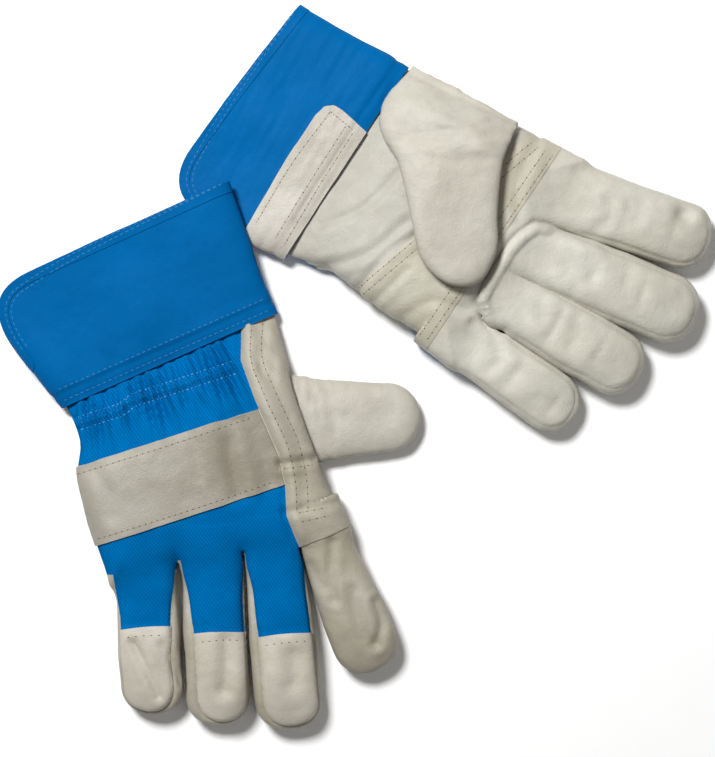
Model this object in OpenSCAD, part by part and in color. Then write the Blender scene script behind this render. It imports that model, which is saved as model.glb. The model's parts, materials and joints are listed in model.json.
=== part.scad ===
// A pair of canvas-backed leather work gloves, laid down as a pair:
// the right glove lies palm down, the left glove lies palm up, and the
// right cuff rests on the corner of the left cuff.
//
// Each glove is drawn in its own plan frame: U runs from the wrist to the
// fingertips, V runs from the little finger side to the thumb side, Z is up.
// place() sets that frame down on the table.

/* [Placement] */
// Angle of the right glove's U direction on the table, degrees
right_angle = -72; // [-80:1:-64]
// Angle of the left glove's U direction on the table, degrees
left_angle = -30; // [-34:1:-26]
// Upward tilt of the right cuff, which leans on the left cuff, degrees
right_cuff_tilt = 8; // [8:0.5:10]

/* [Sheet thickness] */
// Thickness of leather and canvas panels
panel_t = 1.6; // [1.2:0.1:1.8]
// Thickness of the strap, patch and hem laid over the panels
overlay_t = 1.4; // [1:0.1:1.4]
// Thickness of the palm lining
lining_t = 1; // [0.8:0.1:1.2]

/* [Hand] */
// Height of the hand over the knuckles
hand_h = 24; // [22:0.5:26]
// Height of the hand where it enters the cuff
wrist_h = 13; // [12:0.5:15]
// Where the hand reaches its full height, along U
full_u = 20; // [14:1:24]
// Thumb edge of the hand at the wrist, along V
thumb_edge = 60; // [58:0.5:61]
// Edge between the back canvas and the leather side strip, along V
strip_edge = 41; // [38:0.5:44]
// Start of the knuckle strap, along U
strap_u = 17.5; // [15:0.5:20]
// Width of the knuckle strap
strap_w = 40; // [36:1:42]

/* [Fingers] */
// Height of the fingers
finger_h = 22; // [19:0.5:22]
// Gap between parts that move against each other
joint_gap = 0.6; // [0.5:0.1:0.8]
// Distance over which a finger widens from its base
flare = 40; // [30:1:45]

/* [Thumb] */
// Height of the right thumb, which lies under the hand's edge
right_thumb_h = 14; // [12:0.5:14]
// Height of the left thumb, which is folded over the palm
left_thumb_h = 14; // [12:0.5:18]

/* [Cuff] */
// Height of the cuff along its middle
cuff_h = 13; // [12:0.5:13]
// Height of the cuff along its closed edges
cuff_edge_h = 4.8; // [4.8:0.1:5]
// Distance from a cuff edge to its full height
cuff_slope = 42; // [38:1:50]
// Width of the hem along the cuff's mouth
hem_w = 5; // [4:0.5:7]

/* [Hidden] */

canvas_colour = [0.02, 0.30, 0.62];
leather_colour = [0.80, 0.78, 0.71];
patch_colour = [0.82, 0.77, 0.66];
elastic_colour = [0.90, 0.90, 0.88];
lining_colour = [0.93, 0.92, 0.88];

RIGHT = 0;
LEFT = 1;
INDEX = 0;
MIDDLE = 1;
RING = 2;
LITTLE = 3;

// Where each glove's plan frame stands on the table.
origins = [[-91.1, -16.6], [4.4, 93.5]];
angles = [right_angle, left_angle];

// Each finger: base along U, base along V, angle, length, base width, width, start of its cap.
fingers = [
    [[95, 51.6, 3.8, 66, 23.6, 32, 0], [93, 24.5, -12.5, 85, 27, 33, 35],
     [88, -6.5, -15.5, 77.5, 31, 31, 28], [84, -40.3, -14, 65.5, 31, 31.5, 19]],
    [[95.7, 45.3, 11, 73, 33.4, 33.6, 0], [97.7, 12, 7.7, 81.8, 26, 30.4, 35],
     [92.7, -15.6, 0, 75.9, 26.4, 29, 28], [87.7, -43.7, -5.5, 64.5, 27.4, 29.6, 19]]
];

// The wrist line, from its thumb end to its little finger end.
wrist_lines = [[[-25, 64], [-13, -54]], [[-8, 61], [-14, -53]]];
// The little finger edge of the hand, from the wrist to the knuckles.
little_edges = [[[2, -50], [20, -55], [50, -57]], [[-6, -49.5], [8, -46.5], [55, -52.2]]];
// Cuff mouth: its thumb corner, its little finger corner before rounding, and the rounding radius.
cuff_mouths = [[[-93, 62], [-78, -78.5], 28], [[-70.6, 61.6], [-87.5, -58.5], 32]];
// Seams across the palm: each one's little finger end and thumb end, along U.
heel_seam = [22, 61];
upper_seam = [70, 78];

// The thumb hole in the palm: its span along U and how far it reaches in from the thumb edge.
thumb_hole_u = [0, 62];
thumb_hole_v = 34;
// The right thumb turns about an upright axis; it tapers from a round root to its tip.
right_thumb_root = [29, 46.5, 21.5];
right_thumb_tip = [42.5, 99.5, 16.5];
// The left thumb folds about the hand's thumb edge and lies across the palm.
left_thumb_u = [-9, 53];
left_thumb_tip = [60.5, -9, 16];
left_thumb_inner = [-6, 26];

table_panel_z = overlay_t;
inner_z = overlay_t + panel_t;
big = 200;
wrist_axis_z = 13;

// ---------- helpers ----------

function unit(p) = p / norm(p);
// The part of an outline to the left of the line from a to b.
function side_of(p, a, b) = (b[0] - a[0]) * (p[1] - a[1]) - (b[1] - a[1]) * (p[0] - a[0]);
function clip(pts, a, b) = [for (i = [0:len(pts) - 1])
    let (p = pts[i], q = pts[(i + 1) % len(pts)], s = side_of(p, a, b), t = side_of(q, a, b))
    each concat(s >= 0 ? [p] : [], s * t < 0 ? [p + (q - p) * s / (s - t)] : [])];
function below_v(pts, v) = clip(pts, [big, v], [-big, v]);
function above_v(pts, v) = clip(pts, [-big, v], [big, v]);
function before_u(pts, u) = clip(pts, [u, -big], [u, big]);
function after_u(pts, u) = clip(pts, [u, big], [u, -big]);
// A curve shifted to its left by a distance.
function shifted(pts, d) = [for (i = [0:len(pts) - 1])
    let (a = pts[max(i - 1, 0)], b = pts[min(i + 1, len(pts) - 1)], t = unit(b - a))
    pts[i] + d * [-t[1], t[0]]];
function reversed(pts) = [for (i = [len(pts) - 1:-1:0]) pts[i]];
function arc(c, r, a0, a1, n) = [for (i = [0:n]) c + r * [cos(a0 + (a1 - a0) * i / n), sin(a0 + (a1 - a0) * i / n)]];
// A quadratic curve that rounds the corner b between a and c.
function rounded(a, b, c, n) = [for (i = [0:n]) let (t = i / n)
    (1 - t) * (1 - t) * a + 2 * t * (1 - t) * b + t * t * c];
// The outline round two circles of different size.
function tapered(p0, r0, p1, r1, n = 12) =
    let (d = p1 - p0, a = atan2(d[1], d[0]), b = acos((r0 - r1) / norm(d)))
    concat(arc(p1, r1, a - b, a + b, n), arc(p0, r0, a + b, a + 360 - b, n));

// Height of the hand's upper face along U.
function hand_top(u) = u > full_u ? hand_h : max(wrist_h, wrist_h + (hand_h - wrist_h) * (u + 20) / (full_u + 20));

module place(g) {
    translate([origins[g][0], origins[g][1], 0])
        rotate([0, 0, angles[g]])
            children();
}

// A flat layer over a plan outline.
module flat_layer(outline, z, t) {
    translate([0, 0, z])
        linear_extrude(t)
            polygon(outline);
}

// A layer over a plan outline that follows the hand's upper face, at a depth below it.
module hand_layer(outline, depth, t) {
    side = [[-big, wrist_h], [-20, wrist_h], [full_u, hand_h], [big, hand_h]];
    lower = [for (i = [3:-1:0]) side[i] - [0, depth + t]];
    upper = [for (p = side) p - [0, depth]];
    intersection() {
        translate([0, big, 0])
            rotate([90, 0, 0])
                linear_extrude(2 * big)
                    polygon(concat(upper, lower));
        linear_extrude(big)
            polygon(outline);
    }
}

// Fills the hand under its upper face, down to a floor.
module hand_wall(outline, floor_z) {
    side = [[-big, wrist_h], [-20, wrist_h], [full_u, hand_h], [big, hand_h]];
    upper = [for (p = side) p - [0, panel_t]];
    intersection() {
        translate([0, big, 0])
            rotate([90, 0, 0])
                linear_extrude(2 * big)
                    polygon(concat(upper, [[big, floor_z], [-big, floor_z]]));
        linear_extrude(big)
            polygon(outline);
    }
}

// ---------- plan outlines ----------

function finger(g, f) = fingers[g][f];
function finger_at(g, f, s, side) =
    let (k = finger(g, f), w = k[4] / 2 + (k[5] - k[4]) / 2 * min(1, s / flare))
    [k[0], k[1]] + s * [cos(k[2]), sin(k[2])] + side * w * [-sin(k[2]), cos(k[2])];

function wrist_point(g, v) =
    let (a = wrist_lines[g][0], b = wrist_lines[g][1])
    [a[0] + (b[0] - a[0]) * (a[1] - v) / (a[1] - b[1]) + joint_gap, v];
function thumb_side(g) = [wrist_point(g, thumb_edge), finger_at(g, INDEX, -joint_gap, 1)];
function little_side(g) = concat(
    [wrist_point(g, wrist_lines[g][1][1] + 2)],
    little_edges[g],
    [finger_at(g, LITTLE, -joint_gap, -1)]);

// The hand in plan, anticlockwise from the wrist's little finger corner.
function hand_outline(g) = concat(
    little_side(g),
    [for (f = [3:-1:0]) each [
        if (f != LITTLE) finger_at(g, f, -joint_gap, -1) - [0, 0.3],
        if (f != INDEX) finger_at(g, f, -joint_gap, 1) + [0, 0.3]]],
    [thumb_side(g)[1], thumb_side(g)[0]]);

// A finger's outline, drawn in by an inset, from a start along it.
function finger_outline(g, f, start = 0, inset = 0) =
    let (k = finger(g, f), d = [cos(k[2]), sin(k[2])], n = [-sin(k[2]), cos(k[2])],
         r = k[5] / 2 - inset, base = [k[0], k[1]], tip = base + (k[3] - k[5] / 2) * d,
         w = k[4] / 2 + (k[5] - k[4]) / 2 * min(1, start / flare) - inset)
    concat(
        [base + start * d - w * n],
        start < flare ? [base + flare * d - r * n] : [],
        [for (i = [0:12]) let (a = -90 + 15 * i) tip + r * cos(a) * d + r * sin(a) * n],
        start < flare ? [base + flare * d + r * n] : [],
        [base + start * d + w * n]);

function left_thumb_outline(inset = 0) = concat(
    [[left_thumb_u[0] + inset, thumb_edge - 1.5]],
    [[left_thumb_inner[0] + inset, left_thumb_inner[1]]],
    arc([left_thumb_tip[0], left_thumb_tip[1]], left_thumb_tip[2] - inset, 215, 380, 11),
    [[left_thumb_u[1] - inset, thumb_edge - 1.5]]);

function right_thumb_outline(inset = 0) = tapered(
    [right_thumb_root[0], right_thumb_root[1]], right_thumb_root[2] - inset,
    [right_thumb_tip[0], right_thumb_tip[1]], right_thumb_tip[2] - inset);

// ---------- cuff ----------

// The cuff's edge from its thumb corner at the mouth, round the little finger corner.
function cuff_mouth(g) =
    let (w = wrist_lines[g], m = cuff_mouths[g],
         to_wrist = unit(w[1] - m[1]), to_thumb = unit(m[0] - m[1]))
    concat([m[0]], rounded(m[1] + m[2] * to_thumb, m[1], m[1] + m[2] * to_wrist, 10));
function cuff_outline(g) = concat([wrist_lines[g][0]], cuff_mouth(g), [wrist_lines[g][1]]);
function hem_outline(g) = concat(cuff_mouth(g), reversed(shifted(cuff_mouth(g), hem_w)));

// The cuff's cross-section: flat below, sloping down to both closed edges above.
function cuff_section(g, grow) =
    let (lo = cuff_mouths[g][1][1], hi = wrist_lines[g][0][1])
    [[lo, cuff_edge_h], [lo + cuff_slope, cuff_h], [hi - cuff_slope, cuff_h], [hi, cuff_edge_h]] + [for (i = [0:3]) [0, grow]];

// A layer that follows the cuff's upper face, between two heights over it.
module cuff_layer(g, outline, low, high) {
    top = cuff_section(g, high);
    bottom = [for (i = [3:-1:0]) cuff_section(g, low)[i]];
    intersection() {
        translate([-200, 0, 0])
            rotate([90, 0, 90])
                linear_extrude(240)
                    polygon(concat(top, bottom));
        linear_extrude(big)
            polygon(outline);
    }
}

// The cuff's closed edges: the fold on the thumb side and the seam on the little finger side.
module cuff_sides(g) {
    w = wrist_lines[g];
    m = cuff_mouths[g];
    seam_top = m[1] + m[2] * unit(w[1] - m[1]);
    fold = [w[0], m[0], m[0] - [0, panel_t], w[0] - [0, panel_t]];
    seam = [w[1], seam_top, seam_top + [0, panel_t], w[1] + [0, panel_t]];
    for (outline = [fold, seam])
        intersection() {
            translate([0, 0, inner_z])
                linear_extrude(cuff_edge_h - inner_z)
                    polygon(outline);
            cuff_layer(g, outline, -big, -panel_t + 0.2);
        }
}

// The right cuff leans up about the wrist line; the left one lies flat.
module lean(g) {
    w = wrist_lines[g];
    d = unit(w[0] - w[1]);
    a = atan2(d[1], d[0]);
    if (g == RIGHT)
        translate([w[1][0], w[1][1], wrist_axis_z])
            rotate([0, 0, a])
                rotate([right_cuff_tilt, 0, 0])
                    rotate([0, 0, -a])
                        translate([-w[1][0], -w[1][1], -wrist_axis_z])
                            children();
    else
        children();
}

// The upper sheet of the cuff with its two closed edges.
module cuff_top(g) {
    color(canvas_colour)
        lean(g) {
            cuff_layer(g, cuff_outline(g), -panel_t, 0);
            cuff_sides(g);
        }
}

module cuff_table(g) {
    color(canvas_colour)
        lean(g)
            flat_layer(cuff_outline(g), table_panel_z, panel_t);
}

module cuff_hem(g) {
    color(canvas_colour)
        lean(g)
            cuff_layer(g, hem_outline(g), 0, 0.7);
}

// The leather patch over the wrist's veins, on the palm side of the cuff.
// It runs from the little finger seam to a rounded pull end.
vein_patch_start = [-45, -38];
vein_patch_ends = [[-15, -22], [-16, -12]];
vein_patch_v = [[-50, 18], [-48, 24]];
function vein_patch_outline(g) =
    let (u = vein_patch_start[g], e = vein_patch_ends[g], v = vein_patch_v[g])
    concat([[u, v[0]], [e[0], v[0]], [e[1], v[1]]],
        rounded([u + 12, v[1]], [u, v[1]], [u, v[1] - 12], 6));

module vein_patch(g) {
    color(leather_colour)
        lean(g)
            if (g == RIGHT)
                flat_layer(vein_patch_outline(g), 0, overlay_t);
            else
                cuff_layer(g, vein_patch_outline(g), 0, overlay_t);
}

// ---------- hand ----------

// A panel on the back or the palm of the hand, whichever side is up.
module hand_panel(g, up, outline) {
    if (up)
        hand_layer(outline, 0, panel_t);
    else
        flat_layer(outline, table_panel_z, panel_t);
}

function back_outline(g) = below_v(hand_outline(g), strip_edge);
function strap_outline(g) = before_u(after_u(back_outline(g), strap_u), strap_u + strap_w);
// The two seams across the palm run from the little finger side to the thumb side.
function heel_outline(g) = clip(hand_outline(g), [heel_seam[0], -60], [heel_seam[1], 60]);
function patch_outline(g) = clip(clip(hand_outline(g), [heel_seam[1], 60], [heel_seam[0], -60]),
    [upper_seam[0], -60], [upper_seam[1], 60]);
function upper_outline(g) = clip(hand_outline(g), [upper_seam[1], 60], [upper_seam[0], -60]);

// Cuts the thumb's way through the palm.
module thumb_way(g) {
    difference() {
        children();
        translate([thumb_hole_u[0], thumb_hole_v, -1])
            cube([thumb_hole_u[1] - thumb_hole_u[0], 40, 40]);
        if (g == RIGHT)
            translate([right_thumb_root[0], right_thumb_root[1], -1])
                cylinder(h = 20, r = right_thumb_root[2] + joint_gap, $fn = 48);
    }
}

module back_upper(g) {
    color(canvas_colour)
        hand_panel(g, g == RIGHT, before_u(back_outline(g), strap_u + strap_w / 2));
}

module back_lower(g) {
    color(canvas_colour)
        hand_panel(g, g == RIGHT, after_u(back_outline(g), strap_u + strap_w / 2));
}

module knuckle_strap(g) {
    color(leather_colour)
        if (g == RIGHT)
            hand_layer(strap_outline(g), -overlay_t, overlay_t);
        else
            flat_layer(strap_outline(g), 0, overlay_t);
}

// The elastic inside the back of the wrist.
module wrist_elastic(g) {
    outline = [[-8, -42], [-1, -42], [-1, 35], [-8, 35]];
    color(elastic_colour)
        if (g == RIGHT)
            hand_layer(outline, panel_t, 0.8);
        else
            flat_layer(outline, inner_z, 0.8);
}

// The leather that wraps the thumb edge on to the back of the hand, with its upright side.
module side_strip(g) {
    e = thumb_side(g);
    color(leather_colour) {
        hand_panel(g, g == RIGHT, above_v(hand_outline(g), strip_edge));
        difference() {
            hand_wall([e[0], e[0] - [0, panel_t], e[1] - [0, panel_t], e[1]], inner_z);
            if (g == RIGHT)
                translate([2, thumb_edge - 5, 0])
                    cube([60, 10, right_thumb_h + overlay_t + joint_gap]);
        }
    }
}

// The leather's upright side along the little finger edge.
module side_wrap(g) {
    e = little_side(g);
    color(leather_colour)
        hand_wall(concat(e, reversed([for (p = e) p + [0, panel_t]])), inner_z);
}

module palm_heel(g) {
    color(leather_colour)
        thumb_way(g)
            hand_panel(g, g == LEFT, heel_outline(g));
}

module palm_patch(g) {
    color(patch_colour)
        thumb_way(g)
            hand_panel(g, g == LEFT, patch_outline(g));
}

module palm_upper(g) {
    color(leather_colour)
        hand_panel(g, g == LEFT, upper_outline(g));
}

module palm_lining(g) {
    inside = [[-8, -42], [70, -49], [72, 22], [-8, 22]];
    color(lining_colour)
        difference() {
            if (g == LEFT)
                hand_layer(inside, panel_t, lining_t);
            else
                flat_layer(inside, inner_z, lining_t);
            if (g == RIGHT)
                translate([right_thumb_root[0], right_thumb_root[1], -1])
                    cylinder(h = 20, r = right_thumb_root[2] + joint_gap, $fn = 48);
        }
}

// ---------- fingers ----------

// The front of a finger: its leather face and the side that runs round the tip.
module finger_front(g, f) {
    face_z = g == RIGHT ? 0 : finger_h - panel_t;
    side = concat(finger_outline(g, f), reversed(finger_outline(g, f, 0, panel_t)));
    color(leather_colour) {
        flat_layer(finger_outline(g, f), face_z, panel_t);
        flat_layer(side, panel_t, finger_h - 2 * panel_t);
    }
}

// The back of a finger, up to its cap if it has one.
module finger_back(g, f, colour) {
    z = g == RIGHT ? finger_h - panel_t : 0;
    cap = finger(g, f)[6];
    color(colour)
        if (cap > 0)
            flat_layer([finger_at(g, f, 0, -1), finger_at(g, f, cap, -1),
                finger_at(g, f, cap, 1), finger_at(g, f, 0, 1)], z, panel_t);
        else
            flat_layer(finger_outline(g, f), z, panel_t);
}

module finger_cap(g, f) {
    z = g == RIGHT ? finger_h - panel_t : 0;
    color(leather_colour)
        flat_layer(finger_outline(g, f, finger(g, f)[6]), z, panel_t);
}

// ---------- thumb ----------

function thumb_outline(g, inset = 0) = g == RIGHT ? right_thumb_outline(inset) : left_thumb_outline(inset);
function thumb_z(g) = g == RIGHT ? 0 : hand_h + joint_gap;
function thumb_h(g) = g == RIGHT ? right_thumb_h : left_thumb_h;

// The half of the thumb that faces the palm, with the side round it; it is open at the root.
module thumb_front(g) {
    color(leather_colour) {
        difference() {
            flat_layer(thumb_outline(g), thumb_z(g), panel_t);
            if (g == LEFT)
                translate([thumb_hole_u[0] + 4, thumb_hole_v, 0])
                    cube([thumb_hole_u[1] - thumb_hole_u[0] - 20, 40, 60]);
        }
        difference() {
            flat_layer(thumb_outline(g), thumb_z(g) + panel_t, thumb_h(g) - 2 * panel_t);
            flat_layer(thumb_outline(g, panel_t), thumb_z(g), thumb_h(g));
            if (g == RIGHT)
                cube([60, thumb_hole_v + 8, 60]);
        }
    }
}

module thumb_back(g) {
    color(leather_colour)
        difference() {
            flat_layer(thumb_outline(g), thumb_z(g) + thumb_h(g) - panel_t, panel_t);
            if (g == RIGHT)
                cube([60, thumb_edge - 14, 60]);
        }
}

// ---------- the pair ----------

place(RIGHT) cuff_top(RIGHT);  // right_cuff_back
place(RIGHT) cuff_table(RIGHT);  // right_cuff_palm
place(RIGHT) cuff_hem(RIGHT);  // right_cuff_hem
place(RIGHT) vein_patch(RIGHT);  // right_vein_patch
place(RIGHT) back_upper(RIGHT);  // right_back_upper
place(RIGHT) back_lower(RIGHT);  // right_back_lower
place(RIGHT) knuckle_strap(RIGHT);  // right_knuckle_strap
place(RIGHT) wrist_elastic(RIGHT);  // right_wrist_elastic
place(RIGHT) side_strip(RIGHT);  // right_side_strip
place(RIGHT) side_wrap(RIGHT);  // right_side_wrap
place(RIGHT) palm_heel(RIGHT);  // right_palm_heel
place(RIGHT) palm_patch(RIGHT);  // right_palm_patch
place(RIGHT) palm_upper(RIGHT);  // right_palm_upper
place(RIGHT) palm_lining(RIGHT);  // right_palm_lining
place(RIGHT) finger_front(RIGHT, INDEX);  // right_index_front
place(RIGHT) finger_back(RIGHT, INDEX, leather_colour);  // right_index_back
place(RIGHT) finger_front(RIGHT, MIDDLE);  // right_middle_front
place(RIGHT) finger_back(RIGHT, MIDDLE, canvas_colour);  // right_middle_back
place(RIGHT) finger_cap(RIGHT, MIDDLE);  // right_middle_cap
place(RIGHT) finger_front(RIGHT, RING);  // right_ring_front
place(RIGHT) finger_back(RIGHT, RING, canvas_colour);  // right_ring_back
place(RIGHT) finger_cap(RIGHT, RING);  // right_ring_cap
place(RIGHT) finger_front(RIGHT, LITTLE);  // right_little_front
place(RIGHT) finger_back(RIGHT, LITTLE, canvas_colour);  // right_little_back
place(RIGHT) finger_cap(RIGHT, LITTLE);  // right_little_cap
place(RIGHT) thumb_front(RIGHT);  // right_thumb_front
place(RIGHT) thumb_back(RIGHT);  // right_thumb_back
place(LEFT) cuff_table(LEFT);  // left_cuff_back
place(LEFT) cuff_top(LEFT);  // left_cuff_palm
place(LEFT) cuff_hem(LEFT);  // left_cuff_hem
place(LEFT) vein_patch(LEFT);  // left_vein_patch
place(LEFT) back_upper(LEFT);  // left_back_upper
place(LEFT) back_lower(LEFT);  // left_back_lower
place(LEFT) knuckle_strap(LEFT);  // left_knuckle_strap
place(LEFT) wrist_elastic(LEFT);  // left_wrist_elastic
place(LEFT) side_strip(LEFT);  // left_side_strip
place(LEFT) side_wrap(LEFT);  // left_side_wrap
place(LEFT) palm_heel(LEFT);  // left_palm_heel
place(LEFT) palm_patch(LEFT);  // left_palm_patch
place(LEFT) palm_upper(LEFT);  // left_palm_upper
place(LEFT) palm_lining(LEFT);  // left_palm_lining
place(LEFT) finger_front(LEFT, INDEX);  // left_index_front
place(LEFT) finger_back(LEFT, INDEX, leather_colour);  // left_index_back
place(LEFT) finger_front(LEFT, MIDDLE);  // left_middle_front
place(LEFT) finger_back(LEFT, MIDDLE, canvas_colour);  // left_middle_back
place(LEFT) finger_cap(LEFT, MIDDLE);  // left_middle_cap
place(LEFT) finger_front(LEFT, RING);  // left_ring_front
place(LEFT) finger_back(LEFT, RING, canvas_colour);  // left_ring_back
place(LEFT) finger_cap(LEFT, RING);  // left_ring_cap
place(LEFT) finger_front(LEFT, LITTLE);  // left_little_front
place(LEFT) finger_back(LEFT, LITTLE, canvas_colour);  // left_little_back
place(LEFT) finger_cap(LEFT, LITTLE);  // left_little_cap
place(LEFT) thumb_front(LEFT);  // left_thumb_front
place(LEFT) thumb_back(LEFT);  // left_thumb_back
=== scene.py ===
"""A pair of canvas-backed leather work gloves lying on a table.

Each glove is modelled in its own plan frame, in millimetres: U runs from the wrist to the
fingertips, V from the little finger side to the thumb side, Z is up from the table. The right
glove lies palm down and the left glove palm up. A glove's skin is one closed soft form, cut
along its seams into panels, and each panel gets its own thickness, material and stitching.
"""
import json
import math

import bpy
import numpy as np
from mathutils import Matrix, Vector
from mathutils.bvhtree import BVHTree


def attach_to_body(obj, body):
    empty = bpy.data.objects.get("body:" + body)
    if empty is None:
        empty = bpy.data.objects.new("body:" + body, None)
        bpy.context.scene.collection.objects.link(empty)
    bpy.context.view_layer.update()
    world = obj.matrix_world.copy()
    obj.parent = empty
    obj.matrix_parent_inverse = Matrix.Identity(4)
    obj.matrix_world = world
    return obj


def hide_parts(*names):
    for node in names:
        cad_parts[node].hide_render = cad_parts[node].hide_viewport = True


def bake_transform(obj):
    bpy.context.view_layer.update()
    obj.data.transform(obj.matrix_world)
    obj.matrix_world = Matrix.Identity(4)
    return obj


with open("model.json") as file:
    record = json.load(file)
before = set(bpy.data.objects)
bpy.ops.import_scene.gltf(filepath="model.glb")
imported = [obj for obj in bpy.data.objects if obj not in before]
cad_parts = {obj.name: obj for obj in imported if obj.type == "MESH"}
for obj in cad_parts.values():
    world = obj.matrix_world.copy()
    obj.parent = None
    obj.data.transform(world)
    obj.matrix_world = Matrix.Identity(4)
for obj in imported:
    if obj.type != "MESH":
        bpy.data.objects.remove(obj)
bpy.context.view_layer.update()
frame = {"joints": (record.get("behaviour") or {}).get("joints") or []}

MM = 0.001
RIGHT, LEFT = "right", "left"
FINGERS = ("index", "middle", "ring", "little")
PALM = ("palm_heel", "palm_patch", "palm_upper")

# ---------------------------------------------------------------- driving dimensions, mm

# Where each glove's plan frame stands on the table, mm and degrees.
ORIGIN = {RIGHT: (-91.1, -16.6), LEFT: (4.4, 93.5)}
ANGLE = {RIGHT: -72.0, LEFT: -30.0}

PANEL = 1.3        # thickness of a leather or canvas panel with its lining
HEM_THICK = 2.0    # thickness of the cuff's folded binding
TABLE = 0.06       # the lowest any cloth lies above the table
GRID = 1.15        # size of a mesh face on the gloves
HAND_TOP = 24.0    # height of the hand over the knuckles
WRIST_TOP = 9.8    # height of the hand where it enters the cuff
CUFF_TOP = 13.8    # height of the cuff at the wrist
CUFF_LOW = 6.6     # height of the left cuff where the right one rests on it
WRIST_TUCK = 6.0   # how far the hand reaches into the cuff

# Finger: length beyond its hinge, half width at the hinge and beyond, half height, start of
# the cap, and how far the back panel's seams stand in from the little and thumb sides.
FINGER = {
    (RIGHT, "index"): dict(length=65.5, root=13.2, half=16.2, high=10.6, cap=None, inset=(4.2, 2.4)),
    (RIGHT, "middle"): dict(length=84.5, root=14.4, half=16.8, high=10.8, cap=35, inset=(5.0, 1.0)),
    (RIGHT, "ring"): dict(length=77.0, root=15.2, half=16.2, high=10.6, cap=29, inset=(6.2, 0.8)),
    (RIGHT, "little"): dict(length=65.0, root=15.0, half=15.9, high=10.0, cap=20, inset=(1.6, 5.4)),
    (LEFT, "index"): dict(length=72.5, root=17.6, half=16.9, high=10.6, cap=None, inset=(3, 3)),
    (LEFT, "middle"): dict(length=81.3, root=14.6, half=16.2, high=10.8, cap=35, inset=(3, 3)),
    (LEFT, "ring"): dict(length=75.4, root=14.2, half=15.4, high=10.5, cap=28, inset=(3, 3)),
    (LEFT, "little"): dict(length=64.0, root=14.6, half=15.2, high=10.0, cap=19, inset=(3, 3)),
}
BLEND_BACK, BLEND_ON = 7.0, 12.0  # distances before and past a finger's hinge; its panels start at the first
SLIT = 0.8                        # half the gap between two fingers
WEB = {RIGHT: 5.0, LEFT: 15.0}    # how far the crotch of the fingers slopes, from top to foot
SPREAD = 40.0                     # distance over which a finger widens
INSET_GROWS = 42.0                # distance over which the back panel's seams draw in
FINGER_FROM = 60                  # no finger starts before this U
FINGER_SEAM = 10.5                # height of the seams beside a finger's back panel
TIP_MARGIN = 2.0                  # how far the back panel's seam stands in from the fingertip
CAP_CURVE = 0.005                 # how much the cap's edge curves, per mm

# The wrist line, thumb end first.
WRIST = {RIGHT: ((-25, 64), (-13, -54)), LEFT: ((-8, 61), (-14, -53))}
# The hand's edge: little finger side from the wrist up, then thumb side from the top down.
LITTLE_EDGE = {
    RIGHT: [(-40, -50), (-13, -51.5), (-2, -49.8), (6, -50), (18, -54.5), (34, -56.6), (57, -57.2),
            (78, -56)],
    LEFT: [(-36, -50), (-14, -50.5), (-2, -47.7), (8, -46.2), (18, -47.6), (37, -50.8),
           (70, -52.6), (84, -56)]}
THUMB_EDGE = {
    RIGHT: [(88, 62.6), (62, 60.6), (36, 60.6), (6, 60.2), (-10, 61), (-26, 62), (-50, 62)],
    LEFT: [(90, 61.8), (58, 62.3), (33, 61), (10, 59.4), (-8, 59.2), (-30, 59.4)]}
CROTCH = {
    RIGHT: [(75.5, -24), (81.5, 12.4), (88, 39.8)],
    LEFT: [(82, -27), (89.5, -2), (91, 26)]}

STRAP = (17.5, 57.5)     # the knuckle strap, along U
ELASTIC = (-9.0, -2.5)   # the two shirred rows at the wrist
TAPE = (-13, 3)          # the elastic inside, along U
HEEL_SEAM = ((21, -60), (61, 60))
UPPER_SEAM = ((70, -60), (78, 60))
# Base edge of the one panel that faces the left middle and ring fingers, drawn on past them.
FACING = [(93, 25.5), (86, 23), (82, 15), (79.5, 5), (79, -17), (80.5, -23.5), (88, -29),
          (220, -75), (220, 60)]
# The seam of the side strip with the back.
STRIP = {RIGHT: [(-60, 48), (-25, 45.4), (-8, 40), (13, 41), (43, 44), (57, 42.3), (72, 38.2), (90, 39)],
         LEFT: [(-60, 40), (-10, 39), (40, 41), (72, 36), (92, 28)]}

# The right thumb: the pivot it swings about, its root and tip circles and its half height.
THUMB_PIVOT = np.array([29, 46.5])
THUMB_ROOT, THUMB_ROOT_R = np.array([26.4, 47.0]), 23.6
THUMB_TIP, THUMB_TIP_R = np.array([41.4, 99.6]), 17.1
THUMB_HIGH = 6.6
THUMB_MIDDLE = THUMB_HIGH + 0.5   # height of its middle above the table
THUMB_SEAM = 6.4                  # height of its seam
THUMB_TURNS = (-15.0, 0.0, 15.0)  # the ends and the middle of its swing, degrees
THUMB_ROOM = 2.5                  # clearance round it, where it passes under the hand
# The left thumb, folded over the palm: from its wrist side, round the tip, and back.
LEFT_THUMB = [(-6.5, 62.4), (-8.6, 34), (-4.5, 26.5), (12, 15.3), (31, -5.5), (47, -21),
              (62, -24.6), (75, -17.5), (77, -3), (65, 21), (56, 44), (53.5, 62.6)]
# The line each thumb's wrinkles lie across, root first.
THUMB_AXIS = {RIGHT: ((28.5, 46.5), THUMB_TIP), LEFT: ((22, 60), (60.5, -9))}

# The cuff's mouth: its thumb end, the corner it is rounded at, and how far the rounding reaches.
MOUTH = {RIGHT: dict(thumb=(-94.5, 61.5), corner=(-79, -77), reach=30),
         LEFT: dict(thumb=(-70.8, 61.6), corner=(-86.5, -58.5), reach=32)}
CUFF_EDGE = {RIGHT: ((-13, -54), (-45, -66)), LEFT: ((-14, -53), (-50, -55.6))}
TILT = math.tan(math.radians(8))  # how the right cuff rises, where it lies on the left one
HEM = 5.2                         # width of the binding along the mouth
VEIN = {RIGHT: [(-15, -50), (-45, -48), (-45, 16), (-16, 18)],
        LEFT: [(-6, -58), (-38, -58), (-37.6, -10), (-35.9, 17), (-34.2, 22.3), (-30.6, 25.2),
               (-25, 25), (-4, 20.5)]}

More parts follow.
